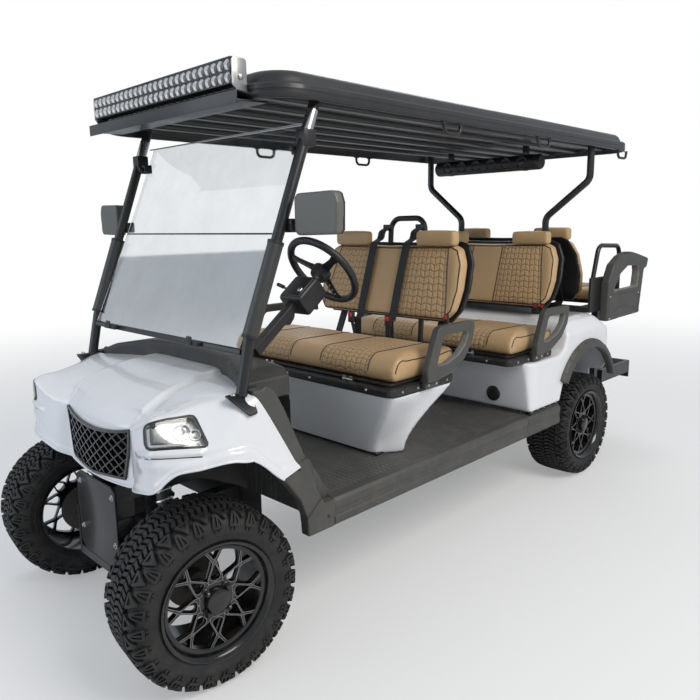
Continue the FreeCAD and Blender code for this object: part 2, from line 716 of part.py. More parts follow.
def back_outline(half, grow):
    """Seat back seen from the front, as half outline (x, height)."""
    return [(0, BACK_Z0 - grow), (half - 60, BACK_Z0 - grow), (half - 14, BACK_Z0 + 50),
            (half + grow, BACK_Z0 + 150), (half - 10 + grow, BACK_Z1 - 90), (half - 45, BACK_Z1 - 18 + grow),
            (half - 90, BACK_Z1 + grow), (0, BACK_Z1 - 6 + grow)]


def leaning(profile_half, near, far):
    """Seat back slab between two distances from its front face, leaning back."""
    slab = prism_y(both(profile_half), -200, 400)
    rise = BACK_Z1 - BACK_Z0
    side = [(near, BACK_Z0 - 40), (far, BACK_Z0 - 40), (far + BACK_LEAN * 1.4, BACK_Z0 - 40 + rise * 1.4),
            (near + BACK_LEAN * 1.4, BACK_Z0 - 40 + rise * 1.4)]
    return slab.common(prism_x(side, -700, 700))


def back_and_shell():
    """Cushion with two headrest pads, and the moulded shell behind it, facing forwards at station 0."""
    soft = leaning(back_outline(BACK_HALF, 0), 0, BACK_THICK)
    pads = []
    for side in (-1, 1):
        xs = sorted((side * HEADREST_X0, side * HEADREST_X1))
        lean = BACK_LEAN * 1.04
        pad = box(xs[0], xs[1], lean - 6, lean + 62, BACK_Z1 - 20, HEADREST_Z1)
        rounded = [e for e in pad.Edges if e.BoundBox.ZMin > HEADREST_Z1 - 1]
        pads.append(pad.makeFillet(16, rounded))
    soft = join([soft] + pads)
    shell = leaning(back_outline(BACK_HALF, 8), BACK_THICK + SOFT_GAP, BACK_THICK + SHELL_THICK)
    for pad in pads:
        grown = box(pad.BoundBox.XMin - 2, pad.BoundBox.XMax + 2, pad.BoundBox.YMin, pad.BoundBox.YMax + 2,
                    BACK_Z1 - 60, HEADREST_Z1 + 5)
        shell = shell.cut(grown)
    return soft, max(shell.Solids, key=lambda s: s.Volume)


REAR_BACK_FRONT = WHEELBASE + 282.0
BACK_FOOT = BACK_FRONT - 28.0


def seat_backs_and_shells():
    """The three seat backs and their shells; the rear one faces backwards."""
    soft, shell = back_and_shell()
    softs = []
    shells = []
    for offset, drop in ((SEAT_FRONT + BACK_FOOT, 0.0), (SEAT_FRONT + SEAT_PITCH + BACK_FOOT, SEAT_DROP)):
        for source, out in ((soft, softs), (shell, shells)):
            piece = source.copy()
            piece.translate(V(0, offset, -drop))
            out.append(piece)
    for source, out in ((soft, softs), (shell, shells)):
        piece = source.mirror(V(0, 0, 0), V(0, 1, 0))
        piece.translate(V(0, REAR_BACK_FRONT, 0))
        out.append(piece)
    return Part.makeCompound(softs), Part.makeCompound(shells)


ARM_X = SEAT_HALF + 32.0
ARM_W = 34.0


def armrests():
    """Moulded arms with a D-shaped opening, both ends of both benches."""
    outline = [(132, 800), (128, 850), (198, 1010), (220, 1024), (450, 1024), (458, 1000),
               (442, 930), (382, 862), (280, 812), (180, 796)]
    window = [(192, 862), (234, 972), (250, 984), (406, 984), (410, 968), (390, 930), (340, 888), (260, 862)]
    arm = prism_x(outline, ARM_X, ARM_X + ARM_W).cut(prism_x(window, ARM_X - 10, ARM_X + ARM_W + 10))
    foot = box(SEAT_HALF + 16.5, ARM_X + 18, 132, 230, TRAY_Z + 8, TRAY_Z + 50)
    foot = foot.cut(box(0, TRAY_HALF + SEAM, 0, 500, TRAY_Z - 60, TRAY_Z + 38))
    arm = arm.fuse(foot).removeSplitter()
    arms = []
    for offset, drop in ((0.0, 0.0), (SEAT_PITCH, SEAT_DROP)):
        piece = arm.copy()
        piece.translate(V(0, SEAT_FRONT + offset, -drop))
        arms += [piece, mirrored(piece)]
    return Part.makeCompound(arms)


def shell_rear(z):
    """How far behind the back's foot its shell's rear face is, at height z."""
    return BACK_THICK + SHELL_THICK + SEAM + (z - BACK_Z0 + 40) * BACK_LEAN / (BACK_Z1 - BACK_Z0)


def back_bracket(face_y, foot_y, foot_z, x):
    """Bent flat bar from a foot up the rear face of a shell whose front face starts at face_y."""
    z_low = BACK_Z0 - 10
    z_high = 1150.0
    low = face_y + shell_rear(z_low)
    high = face_y + shell_rear(z_high)
    side = [(foot_y, foot_z), (foot_y + 70, foot_z), (foot_y + 70, foot_z + 12), (foot_y + 14, foot_z + 12),
            (low + 13, z_low), (high + 13, z_high), (high, z_high), (low, z_low)]
    return prism_x(side, x - 20, x + 20)


BRACKET_X = 330.0
HOOP_X = 112.0
HOOP_FOOT = 217.0
HOOP_HEAD = 257.0
HOOP_Z = 1466.0


def seat_supports():
    """Brackets that hold the seat backs, and the belt hoop behind the front one."""
    front_face = SEAT_FRONT + BACK_FOOT
    tray_rear = SEAT_FRONT + TRAY_BACK + SEAM
    bar_z = TRAY_Z + 4
    parts = []
    for x in (-BRACKET_X, BRACKET_X):
        parts.append(box(x - 20, x + 20, tray_rear, front_face + 34, bar_z, bar_z + 12))
        parts.append(back_bracket(front_face, front_face + 18, bar_z, x))
    parts.append(box(-BRACKET_X - 20, BRACKET_X + 20, front_face + 26, front_face + 38, bar_z, bar_z + 40))
    low = front_face + HOOP_FOOT
    high = front_face + HOOP_HEAD
    hoop = bent_bar([V(-HOOP_X, low, bar_z + 16), V(-HOOP_X, high, HOOP_Z), V(HOOP_X, high, HOOP_Z),
                     V(HOOP_X, low, bar_z + 16)], 14, 60)
    parts.append(hoop)
    for x in (-HOOP_X, HOOP_X):
        parts.append(box(x - 14, x + 14, front_face + 32, low + 14, bar_z, bar_z + 18))
    groups = [join(parts)]
    middle_face = front_face + SEAT_PITCH
    for x in (-BRACKET_X, BRACKET_X):
        bracket = back_bracket(middle_face, middle_face + 108.0, BODY_TOP + SEAM + SEAT_DROP, x)
        bracket.translate(V(0, 0, -SEAT_DROP))
        groups.append(bracket)
        rear = back_bracket(0, 128.0, DECK_Z0 + DECK_H + SEAM, x).mirror(V(0, 0, 0), V(0, 1, 0))
        rear.translate(V(0, REAR_BACK_FRONT, 0))
        groups.append(rear)
    return Part.makeCompound(groups)


def seat_belts():
    """Two shoulder straps down the front of the first seat back."""
    lean = BACK_LEAN / (BACK_Z1 - BACK_Z0)
    face_y = SEAT_FRONT + BACK_FOOT

    def front_at(z):
        return face_y + (z - BACK_Z0 + 40) * lean
    low = 800.0
    top = front_at(BACK_Z1) - SOFT_GAP
    foot = front_at(BACK_Z0) - SOFT_GAP
    hoop = face_y + HOOP_FOOT + 17
    route = [(face_y - 4, low), (face_y - 8, 960), (foot, BACK_Z0), (top, BACK_Z1 + 2), (top + 24, BACK_Z1 + 14),
             (hoop, 1420), (hoop - 2, 1424), (top + 20, BACK_Z1 + 18), (top - 4, BACK_Z1 + 6),
             (foot - 4, BACK_Z0 - 3), (face_y - 12, 958), (face_y - 8, low)]
    strap = prism_x(route, 84, 132)
    return pair(strap)


# Roof and posts

def roof():
    """Roof moulding: rim, crowned top and lengthwise ribs below."""
    rim = rounded_plan(ROOF_HALF, ROOF_FRONT, ROOF_REAR, 150, ROOF_Z0, ROOF_RIM_Z)
    hollow = rounded_plan(ROOF_HALF - 16, ROOF_FRONT + 16, ROOF_REAR - 16, 140, ROOF_Z0 - 1, CEILING)
    crown = rounded_plan(ROOF_HALF - 24, ROOF_FRONT + 24, ROOF_REAR - 40, 140, ROOF_RIM_Z - 4, ROOF_CROWN_Z)
    top = [e for e in crown.Edges if e.BoundBox.ZMin > ROOF_CROWN_Z - 1]
    crown = crown.makeChamfer(30, top)
    parts = [rim.cut(hollow), crown]
    for x in (-420.0, -252.0, -84.0, 84.0, 252.0, 420.0):
        parts.append(box(x - 22, x + 22, ROOF_FRONT + 40, ROOF_REAR - 40, ROOF_RIM_Z - 30, ROOF_RIM_Z - 10))
    return join(parts)


HANDLE_STATIONS = (SEAT_FRONT + 295.0, SEAT_FRONT + SEAT_PITCH + 145.0, ROOF_REAR - 139.0)


def roof_handles():
    """C-shaped grab loops under the roof's edges."""
    loops = []
    for y in HANDLE_STATIONS:
        for side in (-1, 1):
            x = side * (ROOF_HALF - 8)
            loop = bent_bar([V(x, y - 55, ROOF_Z0 - 0.3), V(x, y - 55, ROOF_Z0 - 40), V(x, y + 55, ROOF_Z0 - 40),
                             V(x, y + 55, ROOF_Z0 - 0.3)], 7, 28)
            loops.append(loop)
    return Part.makeCompound(loops)


def sound_bar():
    """Round speaker bar hung under the roof's rear."""
    y = ROOF_REAR - 609
    body = Part.makeCylinder(42, 700, V(-350, y, ROOF_Z0 - 66), V(1, 0, 0))
    hangers = [box(x - 15, x + 15, y - 12, y + 12, ROOF_Z0 - 40, ROOF_RIM_Z - 30 - SEAM) for x in (-252.0, 252.0)]
    return join([body] + hangers)


def front_posts():
    """Front roof posts with their feet on the cowl, sleeves and clamp boxes."""
    post = bent_bar([V(531, 176, 924), V(531, 180, 1050), V(546, 487, ROOF_Z0 - 4)], POST_R, 60)
    neck = rod(V(546, 487, ROOF_Z0 - 10), V(546, 487, CEILING - SEAM), POST_R)
    foot = prism_x([(130, 922), (208, 922), (204, 944), (190, 952), (150, 952), (132, 940)], 500, 562)
    sleeve = rod(V(532.5, 204, 1106), V(538.6, 328, 1405), POST_R + 8)
    box_clamp = box(520, 566, 410, 462, 1690, 1745)
    head = box(524, 570, 462, 512, CEILING - 12, CEILING - SEAM)
    one = join([post, neck, foot, sleeve, box_clamp, head])
    one = one.cut(cowl_block(-0.3))
    one = one.cut(box(400, 700, 0, 700, CEILING - SEAM, 2000))
    return pair(max(one.Solids, key=lambda s: s.Volume))


def rear_posts():
    """Rear roof posts, straight up behind the second seat and then spread to the roof's edges."""
    left = bent_bar([V(REAR_POST_X_LOW, REAR_POST_Y, 932), V(REAR_POST_X_LOW, REAR_POST_Y, 1462),
                     V(REAR_POST_X_HIGH, REAR_POST_Y + 4, 1662), V(REAR_POST_X_HIGH, REAR_POST_Y + 4, CEILING - SEAM)],
                    POST_R, 60)
    pad = box(REAR_POST_X_LOW - 34, REAR_POST_X_LOW + 34, REAR_POST_Y - 34, REAR_POST_Y + 34, 922.3, 934)
    return pair(join([left, pad]))


def windshield():
    """Lower and upper clear panes with the bottom bar."""
    def pane(y0, z0, y1, z1, x0, x1):
        a = [V(-x0, y0, z0), V(x0, y0, z0), V(x1, y1, z1), V(-x1, y1, z1)]
        face = Part.Face(polygon(a))
        return face.extrude(V(0, -5, 2))
    lower = pane(168, 1052, 329, 1411.2, 506, 495)
    upper = pane(329.2, 1411.8, 479, 1772, 495, 484)
    bar = prism_x([(154, 1034), (170, 1034), (174, 1051.5), (158, 1051.5)], -512, 512)
    bar = bar.cut(rod(V(531, 176, 906), V(531, 180, 1050), POST_R + 0.3)).cut(
        rod(V(-531, 176, 906), V(-531, 180, 1050), POST_R + 0.3))
    latches = []
    for x in (-350.0, 250.0):
        latches.append(box(x - 45, x + 45, 138, 158, 1036, 1056))
    clips = []
    for side in (-1, 1):
        xs = sorted((side * 470, side * 520))
        clip = box(xs[0], xs[1], 420, 460, 1668, 1704)
        clips.append(clip.cut(upper).cut(prism_x([(300, 1400), (330, 1400), (498, 1800), (440, 1800)], -470, 470)))
    return Part.makeCompound([lower, upper]), Part.makeCompound([join([bar] + latches)] + clips)


def mirrors():
    """Side mirrors with their arms on the front posts."""
    head = box(592, 775, 330, 372, 1404, 1542)
    head = head.makeFillet(14, head.Edges)
    head.rotate(V(600, 350, 1470), V(0, 0, 1), 4)
    arm = rod(V(566, 354, 1438), V(640, 366, 1446), 10)
    clamp = box(520, 574, 336, 378, 1416, 1460)
    one = join([head, arm, clamp])
    cut = rod(V(531, 180, 1050), V(546, 487, ROOF_Z0 - 4), POST_R + SEAM)
    one = one.cut(cut)
    return pair(max(one.Solids, key=lambda s: s.Volume))


def light_bar():
    """Twin-row lamp bar and the sheet-metal angle that carries it."""
    body = box(-465, 465, 205, 262, 1868, 1948)
    ears = [box(s * 467 - 4, s * 467 + 4, 215, ROOF_FRONT - SEAM, 1846.3, 1930) for s in (-1, 1)]
    bar = join([body] + ears)
    shelf = prism_x([(196, 1806), (202, 1806), (202, 1840), (330, 1826), (330, 1826.3), (330, 1832),
                     (202, 1846), (196, 1846)], -500, 500)
    shelf = shelf.cut(box(-600, 600, ROOF_FRONT - 0.3, 400, 1820, 1900))
    under = prism_x([(202, 1816), (330, 1822), (330, 1827.7), (202, 1822)], -480, 480)
    return bar, join([shelf, under])


# Steering

def column_axis():
    """Unit vector from the column's foot towards the steering wheel."""
    tilt = math.radians(COLUMN_TILT)
    return V(0, math.sin(tilt), math.cos(tilt))


def steering_column():
    """Square column with its switch box, standing out of the dash."""
    along = column_axis()
    foot = WHEEL_C - along * COLUMN_LEN
    end = WHEEL_C - along * 74
    length = (end - foot).Length
    tube = box(-COLUMN_HALF, COLUMN_HALF, -COLUMN_HALF, COLUMN_HALF, 0, length)
    pod = box(-62, 62, -42, 52, length - 130, length)
    pod = pod.makeFillet(12, pod.Edges)
    both_parts = join([tube, pod])
    both_parts.rotate(V(0, 0, 0), V(1, 0, 0), -COLUMN_TILT)
    both_parts.translate(foot)
    return max(both_parts.cut(dash_panel()).Solids, key=lambda s: s.CenterOfMass.z)


def steering_wheel():
    """Rim, three spokes and hub, square to the column."""
    rim_ring = Part.makeTorus(WHEEL_RIM_R, WHEEL_TUBE_R)
    hub = Part.makeCylinder(38, 34, V(0, 0, -36))
    shaft = Part.makeCylinder(12, 40, V(0, 0, -73))
    spokes = []
    for angle in (90, 210, 330):
        bar = box(20, WHEEL_RIM_R, -16, 16, -8, 0)
        bar.rotate(V(20, 0, -4), V(0, 1, 0), 2)
        bar.rotate(V(0, 0, 0), V(0, 0, 1), angle)
        spokes.append(bar)
    wheel = join([rim_ring, hub, shaft] + spokes)
    wheel.rotate(V(0, 0, 0), V(1, 0, 0), -COLUMN_TILT)
    wheel.translate(WHEEL_C)
    return wheel


# Rear-facing seat

DECK_Z0 = 922.3
DECK_H = 30.0
DECK_Y0 = WHEELBASE + 90.0
DECK_Y1 = WHEELBASE + 670.0


def rear_seat_frame():
    """Black frame on the rear body, side plates, props down to the rails and the grab tubes."""
    deck = box(-540, 540, DECK_Y0, DECK_Y1, DECK_Z0, DECK_Z0 + DECK_H)
    opening = box(-470, 470, DECK_Y0 + 60, DECK_Y1 - 60, DECK_Z0 - 5, DECK_Z0 + 40)
    deck = deck.cut(opening)
    parts = [deck]
    for side in (-1, 1):
        xs = sorted((side * 540, side * 552))
        parts.append(box(xs[0], xs[1], DECK_Y0, REAR_END - 5, DECK_Z0, 1120))
        legs = sorted((side * 400, side * 440))
        leg_y = WHEELBASE + 450
        parts.append(box(legs[0], legs[1], leg_y, leg_y + 40, RAIL_Z1, DECK_Z0 + 10))
        route = ((DECK_Y0 + 70, 1100), (DECK_Y0 + 130, 1300), (DECK_Y0 + 415, 1290), (DECK_Y0 + 420, DECK_Z0 + 10))
        grab = bent_bar([V(side * 528, y, z) for y, z in route], 13, 55)
        parts.append(grab)
    return join(parts)


def rear_armrests():
    """Moulded arms with a curved window and a boxed side panel, both sides."""
    outline = [(220, 862), (220, 1090), (280, 1190), (380, 1240), (530, 1252), (788, 1206),
               (770, 1150), (725, 1140), (680, 870)]
    window = [(290, 1032), (380, 1130), (480, 1172), (640, 1166), (654, 1130), (640, 1040)]
    arm = prism_x(outline, 552.3, 604).cut(prism_x(window, 540, 620))
    arm.translate(V(0, WHEELBASE, 0))
    return pair(arm)


def rear_cushion():
    """Rear-facing seat cushion on its pan."""
    z0 = DECK_Z0 + DECK_H + SEAM
    front = DECK_Y0 + 206
    rear = DECK_Y1 + 6
    pan = rounded_plan(490, front - 6, DECK_Y1, 30, z0, z0 + PAN_H)
    profile = [(front, z0 + PAN_H), (front, z0 + 70), (front + 22, z0 + 92), (rear - 36, z0 + 98),
               (rear - 6, z0 + 70), (rear, z0 + PAN_H)]
    soft = prism_x(profile, -480, 480)
    return join([pan, soft])


STEP_HALF = 455.0


def footplate():
    """Rear foot platform on the frame."""
    y0 = WHEELBASE + 530
    y1 = WHEELBASE + 958
    deck = box(-STEP_HALF, STEP_HALF, y0, y1, 471, 501)
    skirt = box(-STEP_HALF, STEP_HALF, y1 - 12, y1, 386, 480)
    cheeks = [box(s * (STEP_HALF - 6) - 6, s * (STEP_HALF - 6) + 6, y0, y1, 420, 480) for s in (-1, 1)]
    struts = [box(s * RAIL_X - 25, s * RAIL_X + 25, y0 + 10, RAIL_REAR, RAIL_Z1, 472) for s in (-1, 1)]
    return join([deck, skirt] + cheeks + struts)


def battery_block():
    """Drive battery as one plain block on the frame."""
    return box(-330, 330, SEAT_FRONT + 50, SEAT_FRONT + 140, FLOOR_Z + 9, 720)


def build():
    """All nodes by name, at their stations from the front axle."""
    nodes = {}
    nodes["frame_rails"] = frame_rails()
    nodes["front_suspension"] = front_suspension()
    nodes["springs"] = Part.makeCompound([
        coil_over(), mirrored(coil_over()), leaf_spring(WHEELBASE), mirrored(leaf_spring(WHEELBASE))])
    nodes["rear_axle"] = rear_axle(WHEELBASE)
    nodes["battery_block"] = battery_block()
    nodes["front_cowl"] = front_cowl()
    nodes["grille"] = grille()
    nodes["headlamp_lenses"], nodes["headlamp_bezels"] = headlamps()
    nodes["dash_shroud"] = dash_shroud(nodes["front_cowl"])
    nodes["bumper_plate"] = bumper_plate()
    nodes["floor_panel"] = floor_panel()
    nodes["rockers"] = rockers()
    nodes["seat_pod"] = seat_pod()
    nodes["rear_body"] = rear_body()
    nodes["fender_flares"] = fender_flares()
    nodes["tail_lamps"] = tail_lamps()
    nodes["seat_trays"] = seat_trays()
    nodes["seat_backs"], nodes["seat_shells"] = seat_backs_and_shells()
    nodes["armrests"] = armrests()
    nodes["seat_supports"] = seat_supports()
    nodes["seat_belts"] = seat_belts()
    nodes["front_posts"] = front_posts()
    nodes["rear_posts"] = rear_posts()
    nodes["roof"] = roof()
    nodes["roof_handles"] = roof_handles()
    nodes["sound_bar"] = sound_bar()
    nodes["light_bar"], nodes["light_bar_bracket"] = light_bar()
    nodes["windshield_panes"], nodes["windshield_bar"] = windshield()
    nodes["mirrors"] = mirrors()
    nodes["steering_column"] = steering_column()
    nodes["pedals"] = pedals()
    nodes["rear_seat_frame"] = rear_seat_frame()
    nodes["rear_armrests"] = rear_armrests()
    nodes["footplate"] = footplate()
    nodes["steering_wheel"] = steering_wheel()
    nodes["front_cushion"] = bench_cushion(0.0, 0.0)
    nodes["middle_cushion"] = bench_cushion(SEAT_PITCH, SEAT_DROP)
    nodes["rear_cushion"] = rear_cushion()
    for name, side in (("left", 1), ("right", -1)):
        pieces = {"knuckle": knuckle(), "front_tyre": tyre(0), "front_rim": rim(0)}
        for piece, shape in pieces.items():
            if side < 0:
                shape = mirrored(shape)
            nodes[piece + "_" + name] = steered(shape, side)
        for piece, shape in (("rear_tyre", tyre(WHEELBASE)), ("rear_rim", rim(WHEELBASE))):
            nodes[piece + "_" + name] = shape if side > 0 else mirrored(shape)
    return nodes


def main():
    """Build every node, centre the cart on its origin and write the files."""
    nodes = build()
    low = min(shape.BoundBox.YMin for shape in nodes.values())
    high = max(shape.BoundBox.YMax for shape in nodes.values())
    shift = -(low + high) / 2
    print("stations from the front axle move by", round(shift, 3))
    for name, shape in nodes.items():
        shape.translate(V(0, shift, 0))
        if not shape.isValid() or not shape.Solids:
            print("check", name, shape.isValid(), len(shape.Solids))
        shape.exportStep("parts/" + name + ".step")
    print(len(nodes), "nodes, box from", round(low), "to", round(high))


main()
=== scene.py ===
"""Lifted six-seat golf cart: finishes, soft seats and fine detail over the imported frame.

Stations are millimetres from the front axle and run rearwards, as in the construction.
+X is the cart's left, the front faces -Y, and Z is up from the ground.
"""
from __future__ import annotations

import json
import logging
import math
from collections.abc import Callable, Sequence
from dataclasses import dataclass, field
from enum import Enum
from functools import cache
from typing import Any

import bmesh
import bpy
import numpy as np
from bpy.types import Material, Node, NodeSocket, NodeTree, Object
from mathutils import Matrix, Vector
from mathutils.bvhtree import BVHTree

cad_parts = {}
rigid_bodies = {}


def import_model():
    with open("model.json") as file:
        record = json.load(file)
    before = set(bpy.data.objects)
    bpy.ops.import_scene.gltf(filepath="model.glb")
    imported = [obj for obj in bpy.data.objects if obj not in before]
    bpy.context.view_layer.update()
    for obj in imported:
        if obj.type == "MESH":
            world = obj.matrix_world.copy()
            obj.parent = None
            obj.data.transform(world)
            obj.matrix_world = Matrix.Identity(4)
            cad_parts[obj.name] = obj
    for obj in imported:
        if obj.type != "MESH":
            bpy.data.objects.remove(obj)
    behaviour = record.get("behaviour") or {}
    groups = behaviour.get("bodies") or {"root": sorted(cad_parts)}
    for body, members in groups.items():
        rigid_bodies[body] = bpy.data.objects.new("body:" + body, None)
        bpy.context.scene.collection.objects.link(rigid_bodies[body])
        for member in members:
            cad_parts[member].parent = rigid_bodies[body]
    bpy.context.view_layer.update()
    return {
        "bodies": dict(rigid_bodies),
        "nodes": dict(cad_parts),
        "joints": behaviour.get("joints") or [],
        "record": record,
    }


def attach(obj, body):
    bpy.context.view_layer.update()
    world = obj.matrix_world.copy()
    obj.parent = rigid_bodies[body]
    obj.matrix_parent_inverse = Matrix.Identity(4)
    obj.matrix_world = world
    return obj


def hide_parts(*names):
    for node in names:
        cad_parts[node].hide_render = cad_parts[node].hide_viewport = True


LOG = logging.getLogger("cart")
SHIFT = -1562.946  # the front axle's place on the frame's Y axis, in millimetres
WHEELBASE = 2480.0
MM = 1000.0  # millimetres in a metre
CAST_FROM = 120.0  # how far off a surface a ray starts, in millimetres
CAST_REACH = 0.4  # how far it looks, in metres
SEAM_HOLD = 7.0  # half width of the strip held along a seam, in millimetres
PIPING_RADIUS = 2.4
EDGE_PIPING_RADIUS = 2.8
Point2 = tuple[float, float]
Point3 = tuple[float, float, float]


class Axis(Enum):
    """Direction that an outline is drawn out along."""

    X = "x"
    Y = "y"
    Z = "z"


def at(x: float, y: float, z: float) -> Vector:
    """Point in metres of a place given in millimetres by its station."""
    return Vector((x, y + SHIFT, z)) / MM


def spot(point: Point3, shift: bool) -> Vector:
    """Point in metres of a place by its station, or about a part's own origin."""
    return at(*point) if shift else Vector(point) / MM


def station(place: Vector) -> Vector:
    """Millimetres by station of a place in metres."""
    return place * MM - Vector((0.0, SHIFT, 0.0))


# Node trees

class Tree:
    """Short-hand for building a node tree with named sockets."""

    def __init__(self, name: str, kind: str) -> None:
        """Start an empty tree.

        Args:
            name: Name of the tree.
            kind: Blender's type of tree.
        """
        self.group = bpy.data.node_groups.new(name, kind)
        self.entry = self.group.nodes.new("NodeGroupInput")
        self.exit = self.group.nodes.new("NodeGroupOutput")

    def takes(self, name: str, kind: str, default: Any = None) -> None:
        """Add a named input socket."""
        socket = self.group.interface.new_socket(name=name, in_out="INPUT", socket_type=kind)
        if default is not None:
            socket.default_value = default

    def gives(self, name: str, kind: str) -> None:
        """Add a named output socket."""
        self.group.interface.new_socket(name=name, in_out="OUTPUT", socket_type=kind)

    def given(self, name: str) -> NodeSocket:
        """Socket of the group's own input."""
        return self.entry.outputs[name]

    def put(self, kind: str, links: dict[Any, Any] | None = None, **settings: Any) -> Node:
        """Add a node.

        Args:
            kind: Blender's node type.
            links: Input name or index to a constant or to another node's output.
            settings: Properties of the node itself.

        Returns:
            The new node.
        """
        return put(self.group, kind, links, **settings)

    def maths(self, how: str, *values: Any, **settings: Any) -> NodeSocket:
        """Result of a Math node on constants or other nodes' outputs."""
        return maths(self.group, how, *values, **settings)

    def end(self, **sockets: NodeSocket) -> NodeTree:
        """Link the outputs and return the finished tree."""
        for name, socket in sockets.items():
            self.group.links.new(socket, self.exit.inputs[name])
        return self.group


def put(tree: NodeTree, kind: str, links: dict[Any, Any] | None = None, **settings: Any) -> Node:
    """Add a node to a tree.

    Args:
        tree: Tree that takes the node.
        kind: Blender's node type.
        links: Input name or index to a constant or to another node's output.
        settings: Properties of the node itself.

    Returns:
        The new node.
    """
    node = tree.nodes.new(kind)
    for key, value in settings.items():
        setattr(node, key, value)
    feed(tree, node, links or {})
    return node


def feed(tree: NodeTree, node: Node, links: dict[Any, Any]) -> None:
    """Set each named input of a node to a constant, or link it to another node's output."""
    for key, value in links.items():
        socket = node.inputs[key]
        if isinstance(value, NodeSocket):
            tree.links.new(value, socket)
        else:
            socket.default_value = value


def maths(tree: NodeTree, how: str, *values: Any, **settings: Any) -> NodeSocket:
    """Result of a Math node on constants or other nodes' outputs."""
    node = put(tree, "ShaderNodeMath", dict(enumerate(values)), operation=how, **settings)
    return node.outputs[0]


# Shader groups shared by the finishes

